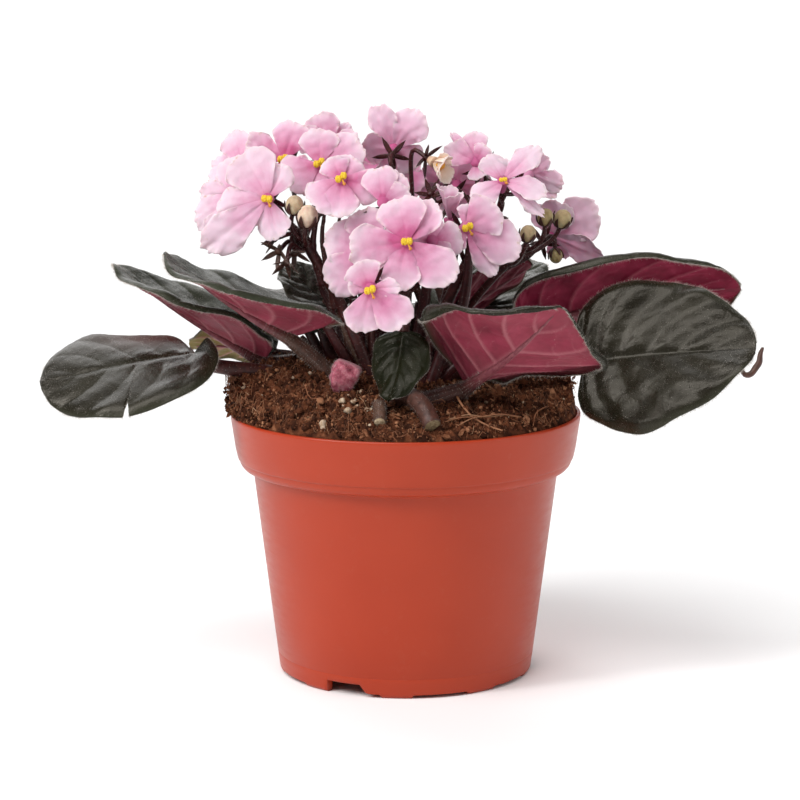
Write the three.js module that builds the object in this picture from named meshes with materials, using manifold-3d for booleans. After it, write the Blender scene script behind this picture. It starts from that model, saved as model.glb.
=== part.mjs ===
// Potted african violet: a flowering rosette in a plain nursery pot.
// Millimetres, +Z up. The viewer's side is -Y. Every table below is measured from the middle of the
// pot's foot, on the ground. POT_AXIS is where that point stands, so that the origin is the middle of
// the whole plant's footprint.
import * as THREE from "three";
import { mergeVertices } from "three/addons/utils/BufferGeometryUtils.js";
import Module from "manifold-3d";

// ---- Driving dimensions ----
const POT_AXIS = [4, -2.5, 0];
const POT_HEIGHT = 90;
const RIM_RADIUS = 60;
const RIM_INNER_RADIUS = 56.6;
const RIM_LIP = 1.4; // height of the rounded edge at the mouth
const COLLAR_BOTTOM = 69;
const COLLAR_RADIUS = 57.2;
const COLLAR_GROOVE = 75.4; // height of the step round the collar
const SHOULDER_RADIUS = 51.8; // the wall where it meets the collar
const SHOULDER_HEIGHT = 66.6;
const FOOT_RADIUS = 43.3;
const FOOT_RING = 2.6; // width of the ring under the floor
const FOOT_CHAMFER = 0.8;
const WALL = 1.5;
const FLOOR_HEIGHT = 4.6;
const FLOOR_THICKNESS = 1.6;
const POT_SEGMENTS = 26;
const FOOT_NOTCHES = 9;
const NOTCH_DEGREES = 26;
const NOTCH_DEPTH = 1.2;
const DRAIN_DEGREES = 21;
const DRAIN_DEPTH = 4.2;
const DRAIN_SLOT_LENGTH = 15;
const DRAIN_SLOT_WIDTH = 6;

const GAP = 0.3; // clearance between pieces that touch
const SOIL_LEVEL = 91.4;
const SOIL_CROWN = 11;
const SOIL_BANK = 10; // extra height of the clump at the left
const SOIL_CRUMB = 0.6;
const SOIL_SPILL = 4.6; // how far the clump hangs over the rim
const SOIL_SECTORS = 20;
const STEM_DEPTH = 10; // how far stems reach into the soil
const HOLE_CLEARANCE = 1.25;

const LEAF_THICKNESS = 0.8;
const PETIOLE_RADIUS = 2.5;
const PETIOLE_LIFT = 2.4; // least height of a petiole's underside over the soil
const MARGIN_WAVE = 0.8;
const LEAF_ROWS = 6;
const LEAF_ROWS_BEHIND = 4;
const LEAF_COLUMNS = 3;
const BEHIND_Y = 18; // leaves with a base past this are behind the crown

const PETAL_THICKNESS = 0.6;
const PETAL_WIDTH = 0.54; // half width of a petal over its reach
const PETAL_LAYERS = [-0.9, -1.9, 0.1, 1.1, 0.1]; // how far each petal stands before the next
const PETAL_STEPS = [0.06, 0.4, 0.74, 1]; // rows of a front petal, from the throat to the tip
const PETAL_STEPS_BEHIND = [0.06, 0.64, 1];
const FRONT_Y = -18;
const PETAL_COLUMNS = 2;
const TUBE_RADIUS = 2.1;
const TUBE_LENGTH = 5;
const ANTHER_RADIUS = 1.5;
const PEDUNCLE_RADIUS = 1.7;
const PEDICEL_RADIUS = 1;
const SEPAL_LENGTH = 7;

// ---- Colours ----
const TERRACOTTA = "#b44f3c";
const SOIL_BROWN = "#4f3426";
const LEAF_GREEN = "#43453c";
const PETAL_PINK = "#e6b4cd";
const PETAL_PALE = "#ecd9cf";
const PETAL_DEEP = "#c86a98";
const ANTHER_YELLOW = "#e8c820";
const STEM_MAROON = "#4a1f22";
const STUB_PINK = "#a65a6c";
const STUB_BROWN = "#5b443c";

const wasm = await Module();
wasm.setup();

const radians = THREE.MathUtils.degToRad;
const vector = (p) => new THREE.Vector3(...p);

// ---- Solids: closed meshes, joined and cut ----
function solid(geometry) {
  const bare = geometry.clone();
  bare.deleteAttribute("normal");
  bare.deleteAttribute("uv");
  const merged = mergeVertices(bare, 1e-4);
  return new wasm.Manifold(
    new wasm.Mesh({
      numProp: 3,
      vertProperties: merged.attributes.position.array,
      triVerts: new Uint32Array(merged.index.array),
    }),
  );
}

const fuse = (geometries) => geometries.map(solid).reduce((a, b) => a.add(b));

function geometryOf(body) {
  const mesh = body.getMesh();
  const geometry = new THREE.BufferGeometry();
  geometry.setAttribute("position", new THREE.BufferAttribute(mesh.vertProperties, 3));
  geometry.setIndex(new THREE.BufferAttribute(mesh.triVerts, 1));
  geometry.computeVertexNormals();
  return geometry;
}

// Keeps the largest body, so that a crumb cut loose is dropped.
function mainBody(body) {
  return body.decompose().reduce((a, b) => (a.volume() > b.volume() ? a : b));
}

// A turned limb laid along a curve: profile is [radius, share of the curve], from the axis back to the axis.
function limb(curve, profile, sides = 6) {
  const steps = 40;
  const frames = curve.computeFrenetFrames(steps, false);
  const geometry = new THREE.LatheGeometry(
    profile.map(([r, share]) => new THREE.Vector2(r, share)),
    sides,
  );
  const place = geometry.attributes.position;
  for (let i = 0; i < place.count; i++) {
    const share = place.getY(i);
    const step = Math.round(share * steps);
    const at = curve.getPointAt(share);
    at.addScaledVector(frames.normals[step], place.getX(i));
    at.addScaledVector(frames.binormals[step], -place.getZ(i));
    place.setXYZ(i, at.x, at.y, at.z);
  }
  return geometry;
}

// A stem of even steps, from one radius to another, with closed ends.
function stem(points, startRadius, endRadius, steps = 6, sides = 6) {
  const curve = new THREE.CatmullRomCurve3(points);
  const profile = [[0, 0]];
  for (let i = 0; i <= steps; i++) {
    profile.push([THREE.MathUtils.lerp(startRadius, endRadius, i / steps), i / steps]);
  }
  profile.push([0, 1]);
  return limb(curve, profile, sides);
}

// A thin closed blade round a grid of points: both faces are split along the same diagonals.
function blade(grid, thickness) {
  const rows = grid.length;
  const columns = grid[0].length;
  const positions = [];
  for (const side of [0.5, -0.5]) {
    for (let i = 0; i < rows; i++) {
      for (let j = 0; j < columns; j++) {
        const along = grid[Math.min(i + 1, rows - 1)][j].clone().sub(grid[Math.max(i - 1, 0)][j]);
        const across = grid[i][Math.min(j + 1, columns - 1)].clone().sub(grid[i][Math.max(j - 1, 0)]);
        const normal = along.cross(across).normalize();
        const point = grid[i][j].clone().addScaledVector(normal, side * thickness);
        positions.push(point.x, point.y, point.z);
      }
    }
  }
  const index = [];
  const back = rows * columns;
  for (let i = 0; i < rows - 1; i++) {
    for (let j = 0; j < columns - 1; j++) {
      const a = i * columns + j;
      const b = a + columns;
      index.push(a, b, b + 1, a, b + 1, a + 1);
      index.push(back + a, back + b + 1, back + b, back + a, back + a + 1, back + b + 1);
    }
  }
  const rim = [];
  for (let j = 0; j < columns - 1; j++) rim.push(j);
  for (let i = 0; i < rows - 1; i++) rim.push(i * columns + columns - 1);
  for (let j = columns - 1; j > 0; j--) rim.push((rows - 1) * columns + j);
  for (let i = rows - 1; i > 0; i--) rim.push(i * columns);
  rim.forEach((a, k) => {
    const b = rim[(k + 1) % rim.length];
    index.push(a, b, back + b, a, back + b, back + a);
  });
  const geometry = new THREE.BufferGeometry();
  geometry.setAttribute("position", new THREE.Float32BufferAttribute(positions, 3));
  geometry.setIndex(index);
  return geometry;
}

// ---- Pot: a tapered wall under a collar, on a notched foot ----
function potSolid() {
  const foot = FOOT_RADIUS - FOOT_CHAMFER;
  const innerFoot = FOOT_RADIUS - FOOT_RING;
  const floorTop = FLOOR_HEIGHT + FLOOR_THICKNESS;
  const outer = [
    [0, FLOOR_HEIGHT],
    [innerFoot, FLOOR_HEIGHT],
    [innerFoot, 0],
    [foot, 0],
    [FOOT_RADIUS + 0.3, 1.2],
    [SHOULDER_RADIUS, SHOULDER_HEIGHT],
    [COLLAR_RADIUS - 2.6, COLLAR_BOTTOM],
    [COLLAR_RADIUS - 0.6, COLLAR_BOTTOM + 2],
    [COLLAR_RADIUS, COLLAR_GROOVE - 1.4],
    [COLLAR_RADIUS + 1, COLLAR_GROOVE],
    [RIM_RADIUS, POT_HEIGHT - RIM_LIP],
    [RIM_RADIUS - 0.6, POT_HEIGHT],
    [RIM_INNER_RADIUS + 1, POT_HEIGHT],
    [RIM_INNER_RADIUS, POT_HEIGHT - RIM_LIP],
    [COLLAR_RADIUS - 1.2, COLLAR_GROOVE - 2.4],
    [COLLAR_RADIUS - 2.7, COLLAR_BOTTOM + 1.8],
    [SHOULDER_RADIUS - WALL, SHOULDER_HEIGHT + 1],
    [FOOT_RADIUS + 1.3 - WALL, floorTop + 2],
    [FOOT_RADIUS - 0.7 - WALL, floorTop],
    [0, floorTop],
  ];
  const profile = outer.map(([r, z]) => new THREE.Vector2(r, z));
  const turned = new THREE.LatheGeometry(profile, POT_SEGMENTS).rotateX(Math.PI / 2);
  let pot = solid(turned);
  const step = 360 / FOOT_NOTCHES;
  for (let k = 0; k < FOOT_NOTCHES; k++) {
    const drain = k % 3 === 0;
    const middle = 270 - 24 + k * step;
    pot = pot.subtract(notch(middle, NOTCH_DEGREES, NOTCH_DEPTH));
    if (drain) {
      pot = pot.subtract(notch(middle - 3, DRAIN_DEGREES, DRAIN_DEPTH));
      pot = pot.subtract(drainSlot(middle - 3));
    }
  }
  return mainBody(pot);
}

// A wedge through the foot ring, as high as the notch is deep.
function notch(middleDegrees, widthDegrees, depth) {
  const width = 2 * FOOT_RADIUS * Math.sin(radians(widthDegrees / 2));
  const box = new THREE.BoxGeometry(12, width, 2 * depth);
  box.translate(FOOT_RADIUS, 0, 0).rotateZ(radians(middleDegrees));
  return solid(box);
}

function drainSlot(middleDegrees) {
  const box = new THREE.BoxGeometry(DRAIN_SLOT_LENGTH, DRAIN_SLOT_WIDTH, 8);
  box.translate(FOOT_RADIUS - 4 - DRAIN_SLOT_LENGTH / 2, 0, FLOOR_HEIGHT).rotateZ(radians(middleDegrees));
  return solid(box);
}

// ---- Soil: a heaped, crumbly fill, highest at the crown and at the left ----
function crumb(x, y) {
  const coarse = 1.1 * Math.sin(0.9 * x + 1.7 * y);
  return coarse + 0.9 * Math.sin(1.3 * x - 0.8 * y + 2) * Math.cos(0.5 * y);
}

function soilHeight(x, y) {
  const r = Math.min(Math.hypot(x, y) / RIM_RADIUS, 1);
  const crown = SOIL_CROWN * (1 - r ** 1.6);
  const leftBank = SOIL_BANK * Math.exp(-((x + 58) ** 2 / 420 + (y - 6) ** 2 / 700));
  return SOIL_LEVEL + crown + leftBank + SOIL_CRUMB * crumb(x, y);
}

function soilGeometry() {
  const floor = FLOOR_HEIGHT + FLOOR_THICKNESS + GAP;
  const topRadius = RIM_INNER_RADIUS;
  const sides = [
    [FOOT_RADIUS - 2.1 - WALL, floor],
    [FOOT_RADIUS - 0.3 - WALL, floor + 2.4],
    [SHOULDER_RADIUS - 1.8 - WALL, SHOULDER_HEIGHT],
    [COLLAR_RADIUS - 2.8, COLLAR_GROOVE - 2.4],
    [topRadius - 0.7, POT_HEIGHT + GAP],
  ];
  const positions = [0, 0, floor];
  const rings = [];
  const addRing = (place) => {
    const ring = [];
    for (let k = 0; k < SOIL_SECTORS; k++) {
      ring.push(positions.length / 3);
      positions.push(...place((2 * Math.PI * k) / SOIL_SECTORS));
    }
    rings.push(ring);
  };
  for (const [r, z] of sides) {
    addRing((a) => [r * Math.cos(a), r * Math.sin(a), z]);
  }
  const spill = (a) => 1.2 + SOIL_SPILL * Math.exp(-(((a - Math.PI) / 0.5) ** 2));
  addRing((a) => {
    const r = topRadius + spill(a);
    return [r * Math.cos(a), r * Math.sin(a), POT_HEIGHT + GAP + 0.2];
  });
  for (const share of [1, 0.94, 0.8, 0.62, 0.42, 0.2]) {
    addRing((a) => {
      const r = share * (topRadius + spill(a));
      const x = r * Math.cos(a);
      const y = r * Math.sin(a);
      const edge = share === 1 ? 0.5 : 1;
      return [x, y, POT_HEIGHT + 1 + edge * (soilHeight(x, y) - POT_HEIGHT - 1)];
    });
  }
  const top = positions.length / 3;
  positions.push(0, 0, soilHeight(0, 0));
  const index = [];
  for (let k = 0; k < SOIL_SECTORS; k++) {
    const next = (k + 1) % SOIL_SECTORS;
    index.push(0, rings[0][next], rings[0][k]);
    for (let i = 0; i < rings.length - 1; i++) {
      const [low, high] = [rings[i], rings[i + 1]];
      index.push(low[k], low[next], high[next], low[k], high[next], high[k]);
    }
    const last = rings[rings.length - 1];
    index.push(last[k], last[next], top);
  }
  const geometry = new THREE.BufferGeometry();
  geometry.setAttribute("position", new THREE.Float32BufferAttribute(positions, 3));
  geometry.setIndex(index);
  return geometry;
}

// ---- Leaves ----
// Each leaf: root in the soil [x, y], blade base, heading and pitch of the midrib, roll about it
// (positive lifts the left half), length, half width, bend (positive droops) and twist from base to tip.
// For the [left, right] halves: the fold from the midrib (positive up), the cup over the half and the
// curl of its margin. tipFold is the share of the fold that is left at the tip, and lobe is how far the
// base reaches back. Angles are in degrees.
const LEAVES = [
  { name: "leaf_far_left", root: [-26, 0], base: [-73, -5, 110], heading: 198, pitch: -2, roll: -18,
    length: 52, width: 27, bend: 23, twist: -28, fold: [19, -16], tipFold: 0.4, cup: [-8, -12],
    curl: [-10, -10], lobe: 9 },
  { name: "leaf_left", root: [-24, 10], base: [-48, 6, 107], heading: 171, pitch: 25, roll: 6,
    length: 62, width: 24, bend: -11, twist: -9, fold: [45, 34], tipFold: 0, cup: [0, -2],
    curl: [-10, 0], lobe: 4 },
  { name: "leaf_left_upper", root: [-22, -9], base: [-37, -13, 118], heading: 181, pitch: 23, roll: 7,
    length: 52, width: 25, bend: -20, twist: -12, fold: [51, 42], tipFold: -0.3, cup: [3, -2],
    curl: [-12, 0], lobe: 19 },
  { name: "leaf_left_low", root: [-18, 17], base: [-46, 24, 106.8], heading: 166, pitch: 4, roll: -6,
    length: 28, width: 17, bend: 14, twist: 0, fold: [8, 8], tipFold: 1, cup: [-10, -10],
    curl: [0, 0], lobe: 5 },
  { name: "leaf_small_front", root: [-5, -20], base: [-1, -33, 122], heading: 256, pitch: -67, roll: 6,
    length: 24, width: 10, bend: -15, twist: 22, fold: [2, 7], tipFold: 0.9, cup: [-19, -17],
    curl: [0, 0], lobe: 1 },
  { name: "leaf_far_right", root: [14, -6], base: [61, -12, 109], heading: -23, pitch: 9, roll: 67,
    length: 59, width: 26, bend: 4, twist: -37, fold: [14, 6], tipFold: 1.5, cup: [-12, -19],
    curl: [-8, -8], lobe: 6 },
  { name: "leaf_right_front", root: [3, -17], base: [20, -28, 104], heading: -60, pitch: 23, roll: -37,
    length: 60, width: 30, bend: -20, twist: 14, fold: [45, 36], tipFold: -0.5, cup: [5, 2],
    curl: [0, -40], lobe: 4 },
  { name: "leaf_right_upper", root: [8, 2], base: [43, 9, 119], heading: 2, pitch: 15, roll: -55,
    length: 73, width: 23, bend: 16, twist: -1, fold: [10, 1], tipFold: 1, cup: [0, -2],
    curl: [0, -20], lobe: 10 },
  { name: "leaf_right_inner", root: [3, 6], base: [15, 12, 121], heading: 30, pitch: 26, roll: -46,
    length: 36, width: 16, bend: 4, twist: 0, fold: [8, 8], tipFold: 1, cup: [0, 0],
    curl: [0, 0], lobe: 6 },
  { name: "leaf_back_right", root: [0, 18], base: [19, 38, 119], heading: 54, pitch: 30, roll: 12,
    length: 44, width: 20, bend: 34, twist: 0, fold: [8, 8], tipFold: 1, cup: [-8, -8],
    curl: [0, 0], lobe: 6 },
  { name: "leaf_back", root: [-8, 20], base: [-5, 38, 112], heading: 85, pitch: 20, roll: 0,
    length: 40, width: 19, bend: 34, twist: 0, fold: [8, 8], tipFold: 1, cup: [-10, -10],
    curl: [0, 0], lobe: 6 },
  { name: "leaf_back_left", root: [-14, 11], base: [-24, 34, 114], heading: 126, pitch: 26, roll: 0,
    length: 42, width: 20, bend: 30, twist: 0, fold: [8, 8], tipFold: 1, cup: [-10, -10],
    curl: [0, 0], lobe: 6 },
  { name: "leaf_inner_left", root: [-13, 3], base: [-25, 19, 122], heading: 156, pitch: 40, roll: -24,
    length: 24, width: 12, bend: 14, twist: 0, fold: [14, 14], tipFold: 1, cup: [0, 0],
    curl: [0, 0], lobe: 3 },
];

// Midrib direction, left side and top normal of a blade at its base.
function leafFrame(leaf) {
  const heading = radians(leaf.heading);
  const pitch = radians(leaf.pitch);
  const roll = radians(leaf.roll);
  const along = new THREE.Vector3(
    Math.cos(heading) * Math.cos(pitch),
    Math.sin(heading) * Math.cos(pitch),
    Math.sin(pitch),
  );
  const level = new THREE.Vector3(-Math.sin(heading), Math.cos(heading), 0);
  const up = along.clone().cross(level);
  const left = level.clone().multiplyScalar(Math.cos(roll)).addScaledVector(up, Math.sin(roll));
  return { along, left, top: along.clone().cross(left) };
}

// The blade's point for turn (0 at the notch of the base, 1 at the tip) and share (0 at the midrib,
// 1 at the margin).
function leafPoint(leaf, frame, half, turn, share) {
  const angle = THREE.MathUtils.lerp(0.25, Math.PI - 0.1, turn);
  const lobe = leaf.lobe * Math.max(0, Math.sin(2 * angle));
  const marginAlong = (leaf.length * (1 - Math.cos(angle))) / 2 - (angle < Math.PI / 2 ? lobe : 0);
  const marginAcross = leaf.width * Math.sin(angle) * (1.04 + 0.24 * Math.cos(angle));
  const rootAlong = leaf.length * turn ** 1.5;
  const twist = radians(leaf.twist) * turn;
  const left = frame.left.clone().applyAxisAngle(frame.along, twist);
  const top = frame.top.clone().applyAxisAngle(frame.along, twist);
  const side = half > 0 ? 0 : 1;
  const fold = leaf.fold[side] * THREE.MathUtils.lerp(1, leaf.tipFold, turn);
  let across = 0;
  let rise = 0;
  const steps = 12;
  for (let i = 0; i < steps; i++) {
    const t = ((i + 0.5) / steps) * share;
    const curl = leaf.curl[side] * THREE.MathUtils.smoothstep(t, 0.72, 1);
    const slope = radians(fold + leaf.cup[side] * t + curl);
    across += (Math.cos(slope) * marginAcross * share) / steps;
    rise += (Math.sin(slope) * marginAcross * share) / steps;
  }
  rise += MARGIN_WAVE * share * share * Math.sin(7 * angle + (half > 0 ? 0 : 2));
  const reach = THREE.MathUtils.lerp(rootAlong, marginAlong, share);
  const droop = radians(leaf.bend) * (reach / leaf.length);
  const bent = Math.abs(droop) < 1e-4 ? reach : (Math.sin(droop) / droop) * reach;
  const sunk = Math.abs(droop) < 1e-4 ? 0 : ((1 - Math.cos(droop)) / droop) * reach;
  return vector(leaf.base)
    .addScaledVector(frame.along, bent + Math.sin(droop) * rise)
    .addScaledVector(left, half * across)
    .addScaledVector(top, Math.cos(droop) * rise - sunk);
}

function leafGrid(leaf) {
  const frame = leafFrame(leaf);
  const rows = leaf.base[1] > BEHIND_Y ? LEAF_ROWS_BEHIND : LEAF_ROWS;
  const grid = [];
  for (let i = 0; i <= rows; i++) {
    const row = [];
    for (let j = LEAF_COLUMNS; j >= -LEAF_COLUMNS; j--) {
      const share = Math.sqrt(Math.abs(j) / LEAF_COLUMNS) ** 1.3;
      row.push(leafPoint(leaf, frame, j >= 0 ? 1 : -1, i / rows, share));
    }
    grid.push(row);
  }
  return grid;
}

// The route of a stem's foot: straight up out of the soil.
function footPoints([x, y]) {
  const level = soilHeight(x, y);
  return [new THREE.Vector3(x, y, level - STEM_DEPTH), new THREE.Vector3(x, y, level + 1)];
}

// The petiole's route: out of the soil at the crown, over, and into the back of the blade.
function petiolePoints(leaf, frame = leafFrame(leaf)) {
  const foot = footPoints(leaf.root);
  const base = vector(leaf.base).addScaledVector(frame.top, -PETIOLE_RADIUS * 0.7);
  const end = base.clone().addScaledVector(frame.along, leaf.length * 0.16);
  const before = base.clone().addScaledVector(frame.along, -leaf.length * 0.16);
  const shoulder = foot[1].clone().lerp(before, 0.2);
  for (const point of [shoulder, before]) {
    point.z = Math.max(point.z, soilHeight(point.x, point.y) + PETIOLE_RADIUS + PETIOLE_LIFT);
  }
  return [...foot, shoulder, before, end];
}

function leafSolid(leaf) {
  const petiole = stem(petiolePoints(leaf), PETIOLE_RADIUS, PETIOLE_RADIUS * 0.8, 6, 5);
  return fuse([blade(leafGrid(leaf), LEAF_THICKNESS), petiole]);
}

// ---- Blooms ----
// Each bloom: mouth of its throat, direction that its face looks in [heading, rise], the truss that
// carries it, and its petals [angle, reach, lean]. Angles go round the face from the viewer's right with
// 90 upwards, and a lean lifts the petal off the face.
const BLOOMS = [
  { name: "bloom_front", at: [1, -38, 152], face: [268, 12], stem: "centre",
    petals: [[98, 15, 10], [42, 16, 6], [-46, 21, 4], [-96, 18, 0], [188, 20, 6]] },
  { name: "bloom_front_right", at: [11, -31, 152.6], face: [282, 16], stem: "centre",
    petals: [[95, 11, 12], [14, 10, 4], [-40, 7, 0], [-100, 6, 0], [180, 6, 0]] },
  { name: "bloom_front_left", at: [-14, -25, 148], face: [255, 8], stem: "centre",
    petals: [[105, 15, 8], [155, 15, 6], [212, 16, 0], [-80, 14, 0], [30, 12, 6]] },
  { name: "bloom_front_low", at: [-11, -46, 138], face: [264, -4], stem: "centre",
    petals: [[112, 9, 12], [165, 9, 10], [250, 15, 4], [-42, 17, 4], [40, 9, 12]] },
  { name: "bloom_upper", at: [-21, -20, 172], face: [266, 26], stem: "left",
    petals: [[105, 9, 12], [160, 9, 12], [222, 20, 2], [-72, 15, 2], [4, 20, 6]] },
  { name: "bloom_upper_left", at: [-30, -3, 175], face: [262, 32], stem: "left",
    petals: [[92, 15, 20], [42, 18, 14], [-30, 12, 0], [222, 14, 0], [150, 10, 10]] },
  { name: "bloom_back_left", at: [-42, 6, 176], face: [258, 20], stem: "left",
    petals: [[70, 14, 14], [130, 13, 10], [168, 13, 6], [-130, 12, 0], [0, 10, 6]] },
  { name: "bloom_left", at: [-46, -16, 165], face: [262, 14], stem: "left",
    petals: [[126, 18, 10], [62, 13, 10], [205, 16, 2], [250, 17, 0], [-64, 14, 2]] },
  { name: "bloom_far_left", at: [-57, -4, 164], face: [240, 12], stem: "left",
    petals: [[138, 15, 10], [80, 14, 12], [198, 15, 4], [242, 21, 0], [-60, 12, 0]] },
  { name: "bloom_rear_left", at: [-54, 14, 172], face: [230, 34], stem: "left",
    petals: [[80, 13, 14], [150, 12, 12], [210, 12, 4], [-80, 12, 0], [0, 12, 4]] },
  { name: "bloom_rear_top", at: [-27, 17, 178], face: [100, 40], stem: "left",
    petals: [[100, 12, 14], [165, 12, 14], [220, 12, 4], [-60, 12, 0], [20, 14, 4]] },
  { name: "bloom_top", at: [-4, 5, 180.5], face: [84, 18], stem: "back",
    petals: [[126, 17, 6], [52, 17, 6], [-10, 13, 0], [-90, 13, 0], [190, 8, 0]] },
  { name: "bloom_shaded", at: [-5, 20, 170], face: [280, 24], stem: "back",
    petals: [[40, 12, 10], [130, 13, 10], [200, 12, 2], [-90, 12, 0], [-30, 13, 2]] },
  { name: "bloom_nodding", at: [12, -5, 175], face: [330, 16], stem: "back",
    petals: [[90, 8, 44], [20, 8, 44], [-50, 8, 44], [-120, 8, 44], [160, 8, 44]] },
  { name: "bloom_right_top", at: [23, 5, 174], face: [278, 30], stem: "right",
    petals: [[92, 13, 16], [140, 14, 16], [190, 12, 4], [-100, 9, 0], [20, 10, 8]] },
  { name: "bloom_right_upper", at: [30, -12, 170], face: [276, 30], stem: "right",
    petals: [[80, 11, 14], [130, 9, 16], [-90, 8, 10], [-24, 17, 0], [200, 10, 20]] },
  { name: "bloom_right_side", at: [45, 7, 170], face: [20, 20], stem: "right",
    petals: [[110, 14, 10], [40, 12, 10], [-35, 14, 0], [-95, 13, 0], [180, 13, 0]] },
  { name: "bloom_right_front", at: [21, -23, 156], face: [284, 6], stem: "right",
    petals: [[50, 14, 12], [110, 9, 14], [-22, 19, 6], [-70, 15, 0], [190, 7, 10]] },
  { name: "bloom_far_right", at: [54, 16, 149], face: [60, 16], stem: "right_low",
    petals: [[140, 15, 6], [75, 15, 6], [12, 13, 0], [-95, 13, 0], [205, 17, 0]] },
  { name: "bloom_half_open", at: [13, -14, 163], face: [276, 58], stem: "centre",
    petals: [[90, 9, 50], [0, 9, 50], [-80, 9, 50], [-170, 9, 50]] },
  { name: "bloom_rear", at: [18, 28, 165], face: [76, 30], stem: "back",
    petals: [[100, 14, 8], [30, 14, 8], [-35, 15, 0], [-92, 15, 0], [180, 14, 2]] },
];

// The open blooms whose anthers show.
const WITH_ANTHERS = [
  "bloom_front", "bloom_front_low", "bloom_upper", "bloom_upper_left", "bloom_back_left", "bloom_left",
  "bloom_far_left", "bloom_right_upper", "bloom_right_front", "bloom_right_top", "bloom_rear",
];

// Right, up and outward directions of a bloom's face.
function faceFrame([heading, rise]) {
  const out = new THREE.Vector3(
    Math.cos(radians(heading)) * Math.cos(radians(rise)),
    Math.sin(radians(heading)) * Math.cos(radians(rise)),
    Math.sin(radians(rise)),
  );
  const right = new THREE.Vector3(0, 0, 1).cross(out).normalize();
  return { right, up: out.clone().cross(right), out };
}

// A petal's point: along from the throat to the tip, across from one margin to the other.
function petalPoint(bloom, frame, k, along, across) {
  const [angle, reach, lean] = bloom.petals[k];
  const half = PETAL_WIDTH * reach * Math.max(along, 0.1) ** 0.85 * (1 - 0.8 * along ** 5) ** 0.5;
  const crimp = 0.05 * reach * along * along * Math.cos(2.6 * across + 2 * k);
  const layer = PETAL_LAYERS[k] * Math.min(1, 2 * along);
  const out = reach * along * Math.tan(radians(lean)) * (1 - 0.3 * along) - 1.4 * across * across * along;
  const spoke = reach * along * Math.cos(radians(lean) * 0.8) * (1 - 0.07 * across * across * along);
  const a = radians(angle);
  return vector(bloom.at)
    .addScaledVector(frame.right, Math.cos(a) * spoke - Math.sin(a) * half * across)
    .addScaledVector(frame.up, Math.sin(a) * spoke + Math.cos(a) * half * across)
    .addScaledVector(frame.out, out + layer + crimp);
}

function bloomSolid(bloom) {
  const frame = faceFrame(bloom.face);
  const steps = bloom.at[1] < FRONT_Y ? PETAL_STEPS : PETAL_STEPS_BEHIND;
  const pieces = bloom.petals.map((petal, k) => {
    const grid = [];
    for (const along of steps) {
      const row = [];
      for (let j = 0; j <= PETAL_COLUMNS; j++) {
        row.push(petalPoint(bloom, frame, k, along, 1 - (2 * j) / PETAL_COLUMNS));
      }
      grid.push(row);
    }
    return blade(grid, PETAL_THICKNESS);
  });
  const mouth = vector(bloom.at).addScaledVector(frame.out, 0.7);
  const back = vector(bloom.at).addScaledVector(frame.out, -TUBE_LENGTH);
  pieces.push(stem([mouth, mouth.clone().lerp(back, 0.5), back], TUBE_RADIUS, TUBE_RADIUS * 0.7, 1, 4));
  return fuse(pieces);
}

// The pair of anthers that stands in the throat.
function antherSolid(bloom) {
  const frame = faceFrame(bloom.face);
  const lobes = [-1, 1].map((side) => {
    const lobe = new THREE.IcosahedronGeometry(ANTHER_RADIUS, 0);
    const at = vector(bloom.at).addScaledVector(frame.right, side * 0.9);
    at.addScaledVector(frame.up, 0.25 * side).addScaledVector(frame.out, ANTHER_RADIUS + 0.7 + GAP);
    return lobe.translate(at.x, at.y, at.z);
  });
  return fuse(lobes);
}

// ---- Flower stems: a peduncle for each truss, its pedicels, sepals and buds ----
const TRUSSES = [
  { name: "left", root: [-12, -9], points: [[-22, -9, 128], [-31, -8, 146]] },
  { name: "centre", root: [-3, -10], points: [[-1, -12, 124], [1, -12, 142]] },
  { name: "right", root: [3, -3], points: [[14, -6, 128], [24, -4, 148]] },
  { name: "right_low", root: [9, 12], points: [[24, 4, 128], [41, 0, 147]] },
  { name: "back", root: [-5, 5], points: [[-2, 4, 128], [3, 5, 154]] },
];

const BUDS = [
  { truss: "left", at: [-38, -14, 162], radius: 2.6, rise: 60 },
  { truss: "left", at: [-32, -17, 158], radius: 3.3, rise: 60 },
  { truss: "right_low", at: [47, -6, 157], radius: 2.7, rise: 70 },
  { truss: "right_low", at: [53, -2, 156], radius: 3, rise: 40 },
  { truss: "right_low", at: [41, -11, 152], radius: 2.7, rise: 50 },
  { truss: "right_low", at: [51, 1, 143], radius: 2.3, rise: -60 },
];

// Where a pedicel meets the back of its bloom, and the way it points there.
function calyxOf(bloom) {
  const { right, up, out } = faceFrame(bloom.face);
  return { at: vector(bloom.at).addScaledVector(out, -TUBE_LENGTH - GAP), right, up, out };
}

// A calyx: five narrow sepals round the end of the pedicel, as one sharp-edged star.
function calyxStar({ at, right, up, out }, length) {
  const points = [at.clone().addScaledVector(out, -0.1), at.clone().addScaledVector(out, -1.9)];
  for (let k = 0; k < 10; k++) {
    const reach = k % 2 ? 1.1 : length;
    const a = radians(36 * k + 54);
    const tip = at.clone().addScaledVector(right, reach * Math.cos(a));
    tip.addScaledVector(up, reach * Math.sin(a)).addScaledVector(out, -1 + 0.12 * reach);
    points.push(tip);
  }
  const index = [];
  for (let k = 0; k < 10; k++) {
    const a = 2 + k;
    const b = 2 + ((k + 1) % 10);
    index.push(0, a, b, 1, b, a);
  }
  const flat = points.flatMap((p) => [p.x, p.y, p.z]);
  const geometry = new THREE.BufferGeometry();
  geometry.setAttribute("position", new THREE.Float32BufferAttribute(flat, 3));
  geometry.setIndex(index);
  return geometry;
}

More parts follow.
